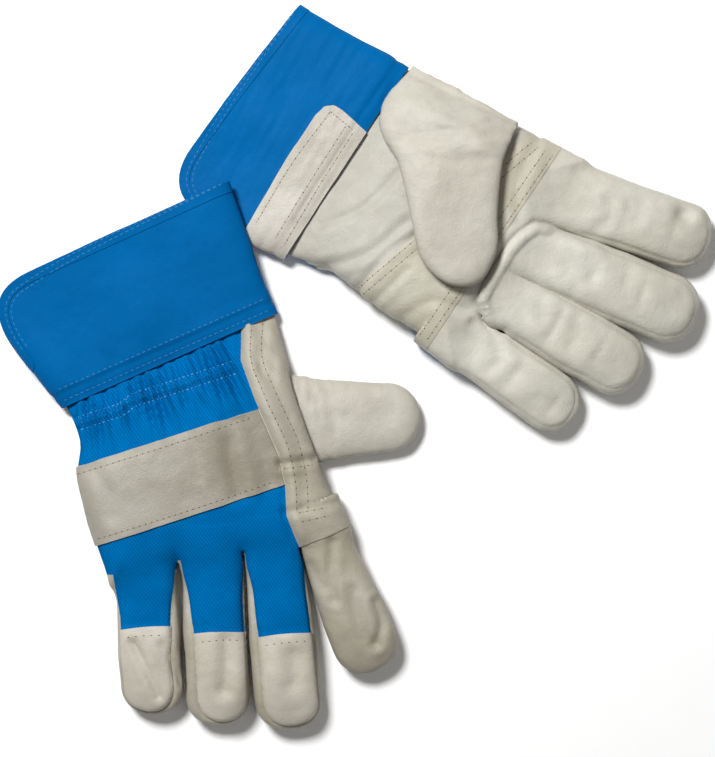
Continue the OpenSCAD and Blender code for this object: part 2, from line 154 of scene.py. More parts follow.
# Creases in the leather: a line, its width and its depth.
CREASES = {
    RIGHT: [([(20, 26), (34, 21), (54, 19)], 4.0, 1.1), ([(21, -47), (31, -43), (45, -44)], 3.5, 0.8),
            ([(24, 6), (40, 3)], 3.0, 0.35), ([(40, -22), (53, -25)], 4, 0.4),
            ([(47, 43), (50.5, 62)], 2.2, 1.3), ([(70.5, 38), (73.5, 62)], 2.2, 0.8),
            ([(2, 8), (16, 22)], 4.0, 1.0), ([(0, -14), (16, -20)], 4.0, 0.9),
            ([(4, -32), (16, -30)], 4.0, 0.8), ([(62, -30), (80, -33)], 5, 0.5),
            ([(60, 8), (82, 11)], 5, 0.6), ([(109, -54), (126, -51.6), (138, -50.7)], 2.0, 1.2),
            ([(114, -41), (122, -39), (136, -38)], 2.2, 0.9),
            ([(122, -10), (132, -13), (145, -18)], 3.6, 1.4), ([(139, 19), (152, 15)], 4.5, 1.1),
            ([(92, 55), (108, 49), (119, 47)], 2.4, 0.9), ([(118, 58), (134, 55), (146, 58)], 3.0, 0.9),
            ([(127, 67), (137, 66.5), (147, 61)], 2.4, 1.3), ([(100, 42), (112, 44)], 2.6, 0.6)],
    LEFT: [([(4, -48), (22, -30), (30, -8)], 2.6, 0.9), ([(-6, -30), (8, -12), (14, 12)], 2.2, 0.7),
           ([(26, -50), (30, -24), (44, -2)], 2.2, 0.8), ([(36, -50), (42, -28)], 2.0, 0.5),
           ([(52, -50), (60, -36), (78, -30)], 2.6, 0.5), ([(66, 60), (68, 36), (78, 20)], 2.6, 0.5),
           ([(112, 52), (116, 45), (114, 38)], 3.0, 0.6), ([(126, 58), (128, 50)], 3.2, 0.5),
           ([(118, 22), (122, 14), (119, 6)], 3.2, 0.5), ([(137, 27), (139, 20)], 3.2, 0.4),
           ([(108, -8), (112, -16)], 3.2, 0.5), ([(128, -6), (131, -20)], 3.2, 0.4),
           ([(98, -36), (104, -44), (102, -50)], 3.0, 0.6), ([(84, -34), (94, -33), (99, -29)], 2.4, 0.8)]}
TWILL = 20.0         # slant of the twill from the length of the hand, degrees
TWILL_PITCH = 1.4    # from one rib to the next

# ---------------------------------------------------------------- small maths


def unit(v):
    v = np.asarray(v, float)
    return v / np.linalg.norm(v)


def smooth(x, lo=0.0, hi=1.0):
    """0 before lo, 1 after hi, and a soft step between them."""
    t = np.clip((x - lo) / (hi - lo), 0, 1)
    return t * t * (3 - 2 * t)


def smooth_min(a, b, k):
    h = np.clip(0.5 + 0.5 * (b - a) / k, 0, 1)
    return b + (a - b) * h - k * h * (1 - h)


def bump(x, width):
    return np.exp(-(x / width) ** 2)


def hash_noise(p, seed):
    """Smooth noise from -1 to 1 at points p, with one feature per unit of length."""
    cell = np.floor(p).astype(np.int64)
    f = p - cell
    f = f * f * (3 - 2 * f)
    total = 0
    for corner in range(8):
        o = np.array([corner & 1, corner >> 1 & 1, corner >> 2 & 1])
        c = cell + o
        n = c[:, 0] * 374761393 + c[:, 1] * 668265263 + c[:, 2] * 1274126177 + seed * 974711
        n = n & 0xFFFFFFFF
        n = ((n ^ (n >> 13)) * 1103515245 + 12345) & 0xFFFFFFFF
        n = (n ^ (n >> 16)) & 0xFFFF
        w = np.prod(np.where(o == 1, f, 1 - f), axis=1)
        total = total + w * (n / 32767.5 - 1)
    return total


def noise(p, size, seed=1, octaves=1):
    """Noise with features of about this size in mm, in each direction."""
    p = np.asarray(p, float) / np.asarray(size, float)
    total, gain = 0, 1.0
    for k in range(octaves):
        total = total + gain * hash_noise(p * 2 ** k, seed + k)
        gain *= 0.5
    return total


def to_world(side, p):
    a = math.radians(ANGLE[side])
    p = np.asarray(p, float)
    x = ORIGIN[side][0] + math.cos(a) * p[:, 0] - math.sin(a) * p[:, 1]
    y = ORIGIN[side][1] + math.sin(a) * p[:, 0] + math.cos(a) * p[:, 1]
    return np.stack([x, y, p[:, 2]], 1) * MM


def to_plan(side, world):
    a = math.radians(ANGLE[side])
    x, y = world[0] / MM - ORIGIN[side][0], world[1] / MM - ORIGIN[side][1]
    return np.array([math.cos(a) * x + math.sin(a) * y, -math.sin(a) * x + math.cos(a) * y])


def curve(points, n):
    """n points evenly along a smooth curve through the given ones."""
    p = np.asarray(points, float)
    t = np.concatenate([[0], np.cumsum(np.linalg.norm(np.diff(p, axis=0), axis=1))])
    slope = np.gradient(p, t, axis=0)
    s = np.linspace(0, t[-1], n)
    i = np.clip(np.searchsorted(t, s) - 1, 0, len(t) - 2)
    h = (t[i + 1] - t[i])[:, None]
    x = ((s - t[i])[:, None]) / h
    return ((2 * x ** 3 - 3 * x ** 2 + 1) * p[i] + (x ** 3 - 2 * x ** 2 + x) * h * slope[i]
            + (-2 * x ** 3 + 3 * x ** 2) * p[i + 1] + (x ** 3 - x ** 2) * h * slope[i + 1])


def to_line(uv, points):
    """Distance from each point to a polyline, and how far along it the nearest point is."""
    p = np.asarray(points, float)
    best = np.full(len(uv), 1e9)
    along = np.zeros(len(uv))
    side = np.zeros(len(uv))
    start = 0.0
    for a, b in zip(p[:-1], p[1:]):
        d = b - a
        length = np.linalg.norm(d)
        t = np.clip((uv - a) @ d / length ** 2, 0, 1)
        off = uv - a - t[:, None] * d
        dist = np.hypot(off[:, 0], off[:, 1])
        near = dist < best
        best = np.where(near, dist, best)
        along = np.where(near, start + t * length, along)
        side = np.where(near, d[0] * off[:, 1] - d[1] * off[:, 0], side)
        start += length
    return best, along, np.sign(side)


def to_outline(uv, points):
    """Signed distance to a closed outline, negative inside."""
    p = np.asarray(points, float)
    best, _, _ = to_line(uv, np.vstack([p, p[:1]]))
    inside = np.zeros(len(uv), bool)
    for a, b in zip(p, np.roll(p, -1, axis=0)):
        crosses = (a[1] > uv[:, 1]) != (b[1] > uv[:, 1])
        with np.errstate(divide="ignore", invalid="ignore"):
            x = (b[0] - a[0]) * (uv[:, 1] - a[1]) / (b[1] - a[1]) + a[0]
        inside ^= crosses & (uv[:, 0] < x)
    return np.where(inside, -best, best)


class Distance:
    """Signed distance to a closed outline, read from a grid that is filled once."""

    def __init__(self, outline, step=0.8, margin=45):
        p = np.asarray(outline, float)
        self.lo, self.step = p.min(0) - margin, step
        count = np.ceil((p.max(0) + margin - self.lo) / step).astype(int) + 2
        self.last = count - 2
        g = np.stack(np.meshgrid(np.arange(count[0]), np.arange(count[1]), indexing="ij"), -1).reshape(-1, 2)
        self.value = to_outline(g * step + self.lo, p).reshape(count)

    def __call__(self, uv):
        g = np.clip((uv - self.lo) / self.step, 0, self.last + 0.999)
        i = g.astype(int)
        f = g - i
        x, y = i[:, 0], i[:, 1]
        a = self.value[x, y] * (1 - f[:, 0]) + self.value[x + 1, y] * f[:, 0]
        b = self.value[x, y + 1] * (1 - f[:, 0]) + self.value[x + 1, y + 1] * f[:, 0]
        return a * (1 - f[:, 1]) + b * f[:, 1]


def line_field(uv, a, b):
    """Signed distance from the line a to b, positive on its left."""
    a, b = np.asarray(a, float), np.asarray(b, float)
    d = unit(b - a)
    return d[0] * (uv[:, 1] - a[1]) - d[1] * (uv[:, 0] - a[0])


# ---------------------------------------------------------------- soft forms


def pillow(q, z, middle, half, power, slope):
    """Field of a soft slab. In plan, q is 0 in its middle and 1 at its edge; half is half its height."""
    return ((q ** power + (np.abs(z - middle) / half) ** power) ** (1 / power) - 1) * slope


class Finger:
    """One finger, straight from its hinge to its tip."""

    def __init__(self, side, name):
        joint = next(j for j in frame["joints"] if j["name"] == f"{side}_{name}_bend")
        axis = Vector(joint["axis"])
        direction = Vector((0, 0, 1)).cross(axis)
        a = math.radians(ANGLE[side])
        self.base = to_plan(side, joint["pos_m"])
        self.d = np.array([math.cos(a) * direction.x + math.sin(a) * direction.y,
                           -math.sin(a) * direction.x + math.cos(a) * direction.y])
        self.n = np.array([-self.d[1], self.d[0]])
        self.__dict__.update(FINGER[side, name])

    def at(self, s, t=0.0):
        return self.base + s * self.d + t * self.n

    def station(self, uv):
        """Distance along the finger from its hinge, and across it towards the thumb side."""
        r = uv - self.base
        return r @ self.d, r @ self.n

    def half_width(self, s):
        return self.root + (self.half - self.root) * smooth(s, 0, SPREAD)

    def edge(self, uv, inset=(0.0, 0.0), tip=0.0):
        """Signed distance to the finger's plan outline, drawn in by the insets."""
        s, t = self.station(uv)
        grown = np.clip((s + BLEND_BACK) / INSET_GROWS, 0, 1)
        shift = grown * (inset[0] - inset[1]) / 2
        w = self.half_width(s) - grown * (inset[0] + inset[1]) / 2
        end = self.length - self.half - tip + (inset[0] + inset[1]) / 2
        across, past = np.abs(t - shift) / w, np.maximum(s - end, 0) / w
        # The tip is a little squarer than a half circle.
        r = (across ** 2.25 + past ** 2.25) ** (1 / 2.25)
        return (r - 1) * w

    def form(self, uv):
        """How far out of the finger's section each point is, its half height and its middle height."""
        s, _ = self.station(uv)
        w = self.half_width(s)
        q = np.maximum(1 + self.edge(uv) / w, 0)
        tip = smooth(s, self.length - 30, self.length)
        h = self.high * (1 - 0.22 * tip) * (1 - 0.05 * smooth(s, 30, 5))
        return q, h, h + 0.3 + 0.6 * tip


FORMS = {(side, name): Finger(side, name) for side in (RIGHT, LEFT) for name in FINGERS}


def hand_outline(side):
    return np.vstack([curve(LITTLE_EDGE[side], 40), CROTCH[side], curve(THUMB_EDGE[side], 40)])


TO_FACING = Distance(FACING, margin=60)
TO_HAND = {side: Distance(hand_outline(side)) for side in (RIGHT, LEFT)}


def from_wrist(side, uv):
    """Distance past the wrist line, towards the fingers."""
    a, b = WRIST[side]
    return line_field(uv, a, b)


def surface_net(field, lo, hi, step):
    """Triangles on the field's zero surface, one vertex per grid cell that it passes through."""
    axes = [np.arange(a, b + step, step) for a, b in zip(lo, hi)]
    shape = tuple(len(a) for a in axes)
    g = np.stack(np.meshgrid(*axes, indexing="ij"), -1).reshape(-1, 3)
    value = np.concatenate([field(part) for part in np.array_split(g, max(1, len(g) // 400000))])
    value = value.reshape(shape)
    cells = tuple(n - 1 for n in shape)
    total = np.zeros(cells + (3,))
    count = np.zeros(cells)
    crossings = []
    for axis in range(3):
        a = [slice(None)] * 3
        b = [slice(None)] * 3
        a[axis], b[axis] = slice(0, -1), slice(1, None)
        va, vb = value[tuple(a)], value[tuple(b)]
        crosses = (va < 0) != (vb < 0)
        with np.errstate(divide="ignore", invalid="ignore"):
            t = np.where(crosses, va / (va - vb), 0)
        where = np.stack(np.meshgrid(*[np.arange(n) for n in va.shape], indexing="ij"), -1).astype(float)
        where[..., axis] += t
        where *= crosses[..., None]
        crossings.append((crosses, va < 0))
        o1, o2 = [k for k in range(3) if k != axis]
        for i in (0, 1):
            for j in (0, 1):
                s = [slice(None)] * 3
                s[o1] = slice(i, i + cells[o1])
                s[o2] = slice(j, j + cells[o2])
                total += where[tuple(s)]
                count += crosses[tuple(s)]
    active = count > 0
    index = np.full(cells, -1)
    index[active] = np.arange(active.sum())
    verts = total[active] / count[active][:, None] * step + np.array([a[0] for a in axes])
    tris = []
    for axis in range(3):
        crosses, inside = crossings[axis]
        o1, o2 = [k for k in range(3) if k != axis]
        s = [slice(None)] * 3
        s[o1] = slice(1, crosses.shape[o1] - 1)
        s[o2] = slice(1, crosses.shape[o2] - 1)
        at = np.argwhere(crosses[tuple(s)])
        at[:, o1] += 1
        at[:, o2] += 1
        quad = []
        for i, j in ((1, 1), (0, 1), (0, 0), (1, 0)):
            c = at.copy()
            c[:, o1] -= i
            c[:, o2] -= j
            quad.append(index[tuple(c.T)])
        quad = np.stack(quad, 1)
        flip = inside[tuple(at.T)] == (axis == 1)
        quad[flip] = quad[flip][:, ::-1]
        tris += [quad[:, [0, 1, 2]], quad[:, [0, 2, 3]]]
    return verts, np.vstack(tris)


def vertex_normals(v, t):
    n = np.zeros_like(v)
    face = np.cross(v[t[:, 1]] - v[t[:, 0]], v[t[:, 2]] - v[t[:, 0]])
    for k in range(3):
        np.add.at(n, t[:, k], face)
    return n / np.maximum(np.linalg.norm(n, axis=1), 1e-9)[:, None]


def settle(v, t, field, rounds=4):
    """Evens out the triangles and puts each vertex exactly on the field's zero surface."""
    edges = np.vstack([t[:, [0, 1]], t[:, [1, 2]], t[:, [2, 0]]])
    edges = np.unique(np.sort(edges, axis=1), axis=0)
    for _ in range(rounds):
        total = np.zeros_like(v)
        count = np.zeros(len(v))
        for a, b in ((0, 1), (1, 0)):
            np.add.at(total, edges[:, a], v[edges[:, b]])
            np.add.at(count, edges[:, a], 1)
        v = v + 0.6 * (total / count[:, None] - v)
        for _ in range(2):
            f = field(v)
            g = np.stack([(field(v + e) - f) / 0.05 for e in np.eye(3) * 0.05], 1)
            step = f[:, None] * g / np.maximum((g ** 2).sum(1), 1e-3)[:, None]
            long = np.linalg.norm(step, axis=1, keepdims=True)
            v = v - step * np.minimum(1, 1.0 / np.maximum(long, 1e-9))
    return v


class Skin:
    """A surface that is cut along lines into labelled panels.

    v0 holds the plain form, where the seams are drawn, and v the shaped one.
    """

    def __init__(self, v, t):
        self.v0, self.v, self.t = v.copy(), v.copy(), t
        self.label = np.zeros(len(t), dtype="<U40")

    def middle(self):
        return self.v0[self.t].mean(axis=1)

    def cut(self, line, where=None):
        """Splits the triangles that the line's field changes sign in."""
        f = np.asarray(line(self.v0), float)
        f[np.abs(f) < 0.04] = 0
        ft = f[self.t]
        mixed = (ft.min(1) < 0) & (ft.max(1) > 0)
        if where is not None:
            mixed &= where
        made0, made, tris, labels, known = [], [], [], [], {}
        n = len(self.v)
        for k in np.nonzero(mixed)[0]:
            above, below = [], []
            tri = self.t[k]
            for i in range(3):
                a, b = tri[i], tri[(i + 1) % 3]
                if f[a] >= 0:
                    above.append(a)
                if f[a] <= 0:
                    below.append(a)
                if f[a] * f[b] < 0:
                    key = (a, b) if a < b else (b, a)
                    if key not in known:
                        p, q = key
                        s = f[p] / (f[p] - f[q])
                        known[key] = n + len(made)
                        made0.append(self.v0[p] + s * (self.v0[q] - self.v0[p]))
                        made.append(self.v[p] + s * (self.v[q] - self.v[p]))
                    above.append(known[key])
                    below.append(known[key])
            for poly in (above, below):
                for i in range(1, len(poly) - 1):
                    tris.append((poly[0], poly[i], poly[i + 1]))
                    labels.append(self.label[k])
        if tris:
            self.v0 = np.vstack([self.v0, made0])
            self.v = np.vstack([self.v, made])
            self.t = np.vstack([self.t[~mixed], tris])
            self.label = np.concatenate([self.label[~mixed], labels])

    def trim(self, field):
        """Cuts off what lies where the field is negative."""
        self.cut(field)
        kept = field(self.middle()) >= 0
        self.t, self.label = self.t[kept], self.label[kept]

    def split(self, field, names):
        """Cuts the panels named first in each pair where the field is zero, and renames what lies
        where it is positive."""
        self.cut(field, np.isin(self.label, list(names)))
        positive = field(self.middle()) > 0
        for old, new in names.items():
            self.label[positive & (self.label == old)] = new


def shell(v, n, t, lift, thickness):
    """A panel with thickness: the outer face raised by lift, the inner face, and the cut edge."""
    used, inverse = np.unique(t, return_inverse=True)
    t = inverse.reshape(t.shape)
    v, n = v[used], n[used]
    outer, inner = v + n * lift, v - n * thickness
    m = len(used)
    edges = np.vstack([t[:, [0, 1]], t[:, [1, 2]], t[:, [2, 0]]])
    key = np.sort(edges, axis=1)
    _, first, count = np.unique(key, axis=0, return_index=True, return_counts=True)
    rim = edges[first[count == 1]]
    walls = np.vstack([np.stack([rim[:, 1], rim[:, 0], rim[:, 0] + m], 1),
                       np.stack([rim[:, 1], rim[:, 0] + m, rim[:, 1] + m], 1)])
    both = np.vstack([outer, inner])
    both[:, 2] = np.maximum(both[:, 2], TABLE)
    return both, np.vstack([t, t[:, ::-1] + m, walls])


def add_object(name, data):
    ob = bpy.data.objects.new(name, data)
    bpy.context.scene.collection.objects.link(ob)
    return ob


def make_object(name, side, v, t, material, cut_edge=None, first=0):
    """A piece in one material; faces from number first on are its cut edge."""
    mesh = bpy.data.meshes.new(name)
    mesh.from_pydata(to_world(side, v).tolist(), [], t.tolist())
    if cut_edge:
        mesh.polygons.foreach_set("material_index", (np.arange(len(t)) >= first).astype(np.int32))
    mesh.validate()
    mesh.polygons.foreach_set("use_smooth", [True] * len(mesh.polygons))
    mesh.set_sharp_from_angle(angle=math.radians(50))
    mesh.materials.append(material)
    if cut_edge:
        mesh.materials.append(cut_edge)
    return add_object(name, mesh)


# ---------------------------------------------------------------- materials


class Look:
    """A material being made; node and the methods after it each give a node's output."""

    def __init__(self, name):
        self.material = bpy.data.materials.new(name)
        self.material.use_nodes = True
        self.tree = self.material.node_tree

    def put(self, socket, value):
        """Links a node's output to the socket, or sets the socket's value."""
        if isinstance(value, bpy.types.NodeSocket):
            self.tree.links.new(value, socket)
        else:
            socket.default_value = value

    def node(self, kind, inputs, output, **settings):
        made = self.tree.nodes.new("ShaderNode" + kind)
        for key, value in settings.items():
            setattr(made, key, value)
        for key, value in inputs.items():
            self.put(made.inputs[key], value)
        return made.outputs[output]

    def place(self):
        return self.node("TexCoord", {}, "Object")

    def plan(self, side, turn=0.0, flat=1.0):
        """Places in mm in the glove's own U and V, turned; flat squeezes out the height."""
        return self.node("Mapping", {
            "Vector": self.place(), "Location": (ORIGIN[side][0] * MM, ORIGIN[side][1] * MM, 0),
            "Rotation": (0, 0, math.radians(ANGLE[side] + turn)), "Scale": (MM, MM, MM * flat)},
            "Vector", vector_type="TEXTURE")

    def noise(self, at, scale, detail=3.0, rough=0.5, distortion=0.0):
        return self.node("TexNoise", {"Vector": at, "Scale": scale, "Detail": detail,
                                      "Roughness": rough, "Distortion": distortion}, "Fac")

    def wave(self, at, direction, scale, distortion=0.0, detail_scale=1.0):
        return self.node("TexWave", {"Vector": at, "Scale": scale, "Distortion": distortion,
                                     "Detail Scale": detail_scale}, "Fac", bands_direction=direction)

    def cells(self, at, scale):
        return self.node("TexVoronoi", {"Vector": at, "Scale": scale}, "Distance",
                         feature="DISTANCE_TO_EDGE")

    def ramp(self, value, *stops):
        """Each stop is its place, and a colour or how light a grey."""
        made = self.tree.nodes.new("ShaderNodeValToRGB")
        elements = made.color_ramp.elements
        while len(elements) < len(stops):
            elements.new(0.5)
        for element, (at, colour) in zip(elements, stops):
            element.position = at
            element.color = (*(colour if isinstance(colour, tuple) else (colour,) * 3), 1)
        self.tree.links.new(value, made.inputs["Fac"])
        return made.outputs["Color"]

    def multiply(self, a, b, amount=1.0):
        """Colour a times colour b; the sockets are the mix node's colour ones."""
        return self.node("Mix", {0: amount, 6: a, 7: b}, 2, data_type="RGBA", blend_type="MULTIPLY")

    def finish(self, tint, rough, shine=0.5, heights=()):
        """Colour, roughness, sheen and bumps; each height is a value, a distance in m and a strength."""
        shader = self.tree.nodes["Principled BSDF"].inputs
        self.put(shader["Base Color"], tint)
        self.put(shader["Roughness"], rough)
        self.put(shader["Specular IOR Level"], shine)
        below = {}
        for height, distance, strength in heights:
            inputs = {"Height": height, "Distance": distance, "Strength": strength}
            below = {"Normal": self.node("Bump", {**inputs, **below}, "Normal")}
        if below:
            self.put(shader["Normal"], below["Normal"])
        return self.material


def tinted(colour, *factors):
    """The colour made lighter or darker by each factor."""
    return [tuple(c * k for c in colour) for k in factors]


def leather(name, side, colour, warm, shade_bands=None):
    """Fine grain cowhide: pebbled grain, soft creases, an uneven tint, and, where bands are given, painted
    shade across V.
    """
    look = Look(name)
    at = look.plan(side)
    pebble = look.ramp(look.cells(at, 1.3), (0.0, 0.0), (0.30, 1.0))
    soft = look.noise(at, 0.11, 4, 0.55, 0.4)
    lines = look.noise(at, 0.9, 4, 0.6, 0.3)
    fine = look.noise(at, 3.2, 3, 0.6)
    blotch = look.noise(at, 0.030, 2, 0.5)
    tint = look.ramp(blotch, (0.35, warm), (0.62, colour))
    tint = look.multiply(tint, look.ramp(soft, (0.30, 0.93), (0.55, 1.0), (0.75, 1.03)))
    tint = look.multiply(tint, look.ramp(fine, (0.32, 0.90), (0.50, 1.0)), 0.8)
    if shade_bands:
        # Painted shade in bands across the hand: each band is a V in mm, and how light the colour is there.
        first, last = shade_bands[0][0], shade_bands[-1][0]
        across = look.node("SeparateXYZ", {0: at}, "Y")
        span = look.node("MapRange", {"Value": across, "From Min": first, "From Max": last}, "Result")
        stops = [((v - first) / (last - first), (k, k ** 1.15, k ** 1.35)) for v, k in shade_bands]
        tint = look.multiply(tint, look.ramp(span, *stops))
    rough = look.ramp(soft, (0.3, 0.56), (0.7, 0.43))
    return look.finish(tint, rough, 0.38, [(soft, 0.0016, 0.34), (lines, 0.0006, 0.42),
                                           (pebble, 0.00016, 0.32), (fine, 0.00018, 0.28)])


def drill(name, side, colour):
    """Cotton drill: a fine diagonal twill with a soft nap."""
    look = Look(name)
    at = look.plan(side, TWILL, 20)
    rib = look.wave(at, "Y", 2 * math.pi / 20 / TWILL_PITCH, 0.6, 3.0)
    yarn = look.wave(at, "X", 0.95, 1.2)
    nap = look.noise(at, 1.6, 4, 0.65)
    cloud = look.noise(at, 0.06, 3, 0.5)
    pale, deep = tinted(colour, 1.18, 0.88)
    tint = look.ramp(rib, (0.15, deep), (0.85, pale))
    tint = look.multiply(tint, look.ramp(cloud, (0.3, 0.93), (0.7, 1.05)))
    tint = look.multiply(tint, look.ramp(nap, (0.30, 0.88), (0.55, 1.0), (0.80, 1.10)), 0.8)
    return look.finish(tint, 0.82, 0.0, [(rib, 0.0002, 0.5), (yarn, 0.0001, 0.3), (nap, 0.0003, 0.35)])


def rubberised(name, side, colour):
    """Rubberised cotton: a smooth satin coat over a fine plain weave, with a leathery grain."""
    look = Look(name)
    at = look.plan(side)
    grain = look.cells(at, 0.75)
    wrinkle = look.noise(at, 0.5, 5, 0.6, 1.2)
    weave = look.wave(at, "Y", 0.42, 1.0)
    pale, deep = tinted(colour, 1.09, 0.95)
    tint = look.ramp(look.noise(at, 0.035, 3, 0.5), (0.3, deep), (0.7, pale))
    tint = look.multiply(tint, look.ramp(wrinkle, (0.33, 0.95), (0.52, 1.0), (0.72, 1.05)), 0.8)
    rough = look.ramp(wrinkle, (0.3, 0.58), (0.7, 0.46))
    return look.finish(tint, rough, 0.03, [(wrinkle, 0.0006, 0.22), (weave, 0.00012, 0.25),
                                           (grain, 0.0002, 0.2)])


def thread(name, colour):
    look = Look(name)
    twist = look.wave(look.place(), "DIAGONAL", 900)
    return look.finish(look.ramp(twist, (0.2, tinted(colour, 0.8)[0]), (0.8, colour)), 0.6)


def cloth(name, colour, scale):
    """Plain knitted or brushed cloth, for linings, elastic and raw edges."""
    look = Look(name)
    at = look.place()
    fuzz = look.noise(at, scale, 4, 0.6)
    knit = look.wave(at, "X", scale * 0.4)
    tint = look.ramp(fuzz, (0.3, tinted(colour, 0.82)[0]), (0.7, colour))
    return look.finish(tint, 0.95, 0.5, [(knit, 0.0003, 0.4), (fuzz, 0.0003, 0.5)])


CANVAS_BLUE = (0.0, 0.119, 0.345)
CUFF_BLUE = (0.0, 0.106, 0.316)
# Leather colours: a hide is never one colour, so the pieces differ a little.
HIDE = {
    # The strap's third entry is painted shade: darker beside the side strip's raised roll, and a little
    # darker at the little finger's edge.
    "strap": ((0.37, 0.352, 0.302), (0.33, 0.308, 0.252),
              [(-55, 0.86), (-46, 1.0), (-20, 0.93), (4, 0.92), (17, 0.74), (30, 0.80), (42, 0.72)]),
    "cap": ((0.53, 0.50, 0.43), (0.48, 0.445, 0.37)),
    "side": ((0.40, 0.378, 0.31), (0.35, 0.322, 0.25)),
    "thumb": ((0.475, 0.455, 0.39), (0.445, 0.42, 0.355)),
    "palm": ((0.425, 0.412, 0.36), (0.41, 0.39, 0.335)),
    "finger": ((0.55, 0.537, 0.468), (0.52, 0.50, 0.425)),
    "cream": ((0.475, 0.455, 0.37), (0.44, 0.41, 0.315)),
    "vein": ((0.51, 0.485, 0.43), (0.48, 0.45, 0.39))}
MATERIAL = {side: {
    **{name: leather(f"{side}_{name}_leather", side, *tints) for name, tints in HIDE.items()},
    "drill": drill(f"{side}_cotton_drill", side, CANVAS_BLUE),
    "cuff": rubberised(f"{side}_rubberised_cotton", side, CUFF_BLUE)} for side in (RIGHT, LEFT)}
BLUE_THREAD = thread("light_blue_thread", (0.22, 0.48, 0.72))
CUFF_THREAD = thread("blue_thread", (0.03, 0.19, 0.46))
PALE_CANVAS_THREAD = thread("pale_blue_thread", (0.05, 0.22, 0.50))
TAN_THREAD = thread("tan_thread", (0.36, 0.28, 0.19))
# Needle holes are dark marks of painted shade, standing in for the hollow of each hole.
HOLE_SHADE = thread("needle_hole", (0.10, 0.068, 0.042))
LINING = cloth("brushed_lining", (0.72, 0.70, 0.64), 900)
ELASTIC_CLOTH = cloth("elastic_tape", (0.75, 0.75, 0.73), 1400)
CUT_EDGE = cloth("cut_edge_of_leather", (0.62, 0.58, 0.49), 1800)

# ---------------------------------------------------------------- thumbs, hands and cuffs


def right_thumb_field(points, turn=0.0, grow=0.0):
    """A tapered thumb on the table; turn swings it about its root."""
    a = math.radians(turn)
    axis = THUMB_TIP - THUMB_ROOT
    length = np.linalg.norm(axis)
    r = points[:, :2] - THUMB_PIVOT
    r = np.stack([math.cos(a) * r[:, 0] + math.sin(a) * r[:, 1],
                  math.cos(a) * r[:, 1] - math.sin(a) * r[:, 0]], 1) + THUMB_PIVOT - THUMB_ROOT
    s = np.clip(r @ axis / length ** 2, 0, 1)
    off = np.linalg.norm(r - s[:, None] * axis, axis=1)
    radius = THUMB_ROOT_R + (THUMB_TIP_R - THUMB_ROOT_R) * s + grow
    h = THUMB_HIGH * (1 - 0.12 * s) + grow
    return pillow(off / radius, points[:, 2], THUMB_MIDDLE, h, 2.4, 7)


def hand_heights(side, uv):
    past = from_wrist(side, uv)
    rise = 0.30 * smooth(past, -2, 12) + 0.70 * smooth(past, -2, 46)
    top = WRIST_TOP + (HAND_TOP - WRIST_TOP) * rise
    if side == LEFT:
        top = top - 2.0 * smooth(TO_LEFT_THUMB(uv), 4, -12)
    bottom = 2.4 - 2.2 * smooth(past, -1, 16)
    return bottom, top


def hand_section(side, uv):
    bottom, top = hand_heights(side, uv)
    q = np.maximum(1 + TO_HAND[side](uv) / 21, 0)
    return q, (top + bottom) / 2, (top - bottom) / 2


TO_LEFT_THUMB = Distance(curve(LEFT_THUMB, 70))


def hand_field(side, points):
    """The hand and its four fingers as one soft form, negative inside."""
    uv, z = points[:, :2], points[:, 2]
    q, mid, h = hand_section(side, uv)
    hand = pillow(q, z, mid, h, 2.5, 9)
    whole = hand
    edges = []
    for name in FINGERS:
        f = FORMS[side, name]
        q, h, mid = f.form(uv)
        s, _ = f.station(uv)
        finger = np.where(s < -24, 30, pillow(q, z, mid, h, 3, 9))
        whole = np.minimum(whole, smooth_min(hand, finger, 5.0))
        edges.append(f.edge(uv))
    # A slit between each two fingers, down to their crotch.
    for k, crotch in enumerate(reversed(CROTCH[side])):
        d = unit(FORMS[side, FINGERS[k]].d + FORMS[side, FINGERS[k + 1]].d)
        past = (uv - crotch) @ d - WEB[side] * (1 - z / HAND_TOP)
        slit = np.minimum((SLIT * 2 - np.abs(edges[k] - edges[k + 1])) / 2, past)
        whole = np.maximum(whole, slit)
    if side == RIGHT:
        # Room for the thumb, straight walled below its middle.
        over = np.column_stack([uv, np.maximum(z, THUMB_MIDDLE)])
        for turn in THUMB_TURNS:
            whole = np.maximum(whole, -right_thumb_field(over, turn, THUMB_ROOM))
    return whole


def thumb_high(uv):
    """Half the thickness of the left thumb, thinner where it turns over the hand's edge."""
    return 2.8 + 3.3 * smooth(uv[:, 1], 61, 42)


def palm_under_thumb(uv):
    """Height of the left thumb's underside."""
    q, mid, h = hand_section(LEFT, uv)
    return mid + h * (1 - np.minimum(q, 0.93) ** 2.5) ** 0.4 + 1.7


def left_thumb_field(points):
    uv, z = points[:, :2], points[:, 2]
    high = thumb_high(uv)
    q = np.maximum(1 + TO_LEFT_THUMB(uv) / 14, 0)
    middle = palm_under_thumb(uv) + high
    return pillow(q, z, middle, high, 2.3, 6)


def mouth_line(side):
    m = MOUTH[side]
    thumb, corner = np.array(m["thumb"]), np.array(m["corner"])
    edge = np.array(CUFF_EDGE[side][1])
    a = corner + unit(thumb - corner) * m["reach"]
    t = np.linspace(0, 1, 14)[:, None]
    bend = (1 - t) ** 2 * a + 2 * t * (1 - t) * corner + t ** 2 * edge
    return np.vstack([thumb + unit(thumb - corner) * 30, bend, edge + unit(edge - corner) * 6])


def cuff_outline(side):
    """The cuff drawn on past the mouth and past the wrist, where it is cut off later."""
    wrist, little = np.array(WRIST[side][0], float), np.array(CUFF_EDGE[side][0], float)
    edge = np.array(CUFF_EDGE[side][1], float)
    thumb = np.array(MOUTH[side]["thumb"])
    corner = np.array(MOUTH[side]["corner"])
    out = unit(thumb - wrist)
    back = unit(edge - little)
    return np.array([wrist - out * 30, wrist, thumb, thumb + out * 40, corner + back * 45,
                     edge + (corner - edge) * 0.35, edge, little, little - back * 30])


TO_CUFF = {side: Distance(cuff_outline(side)) for side in (RIGHT, LEFT)}
MOUTH_LINE = {side: mouth_line(side) for side in (RIGHT, LEFT)}


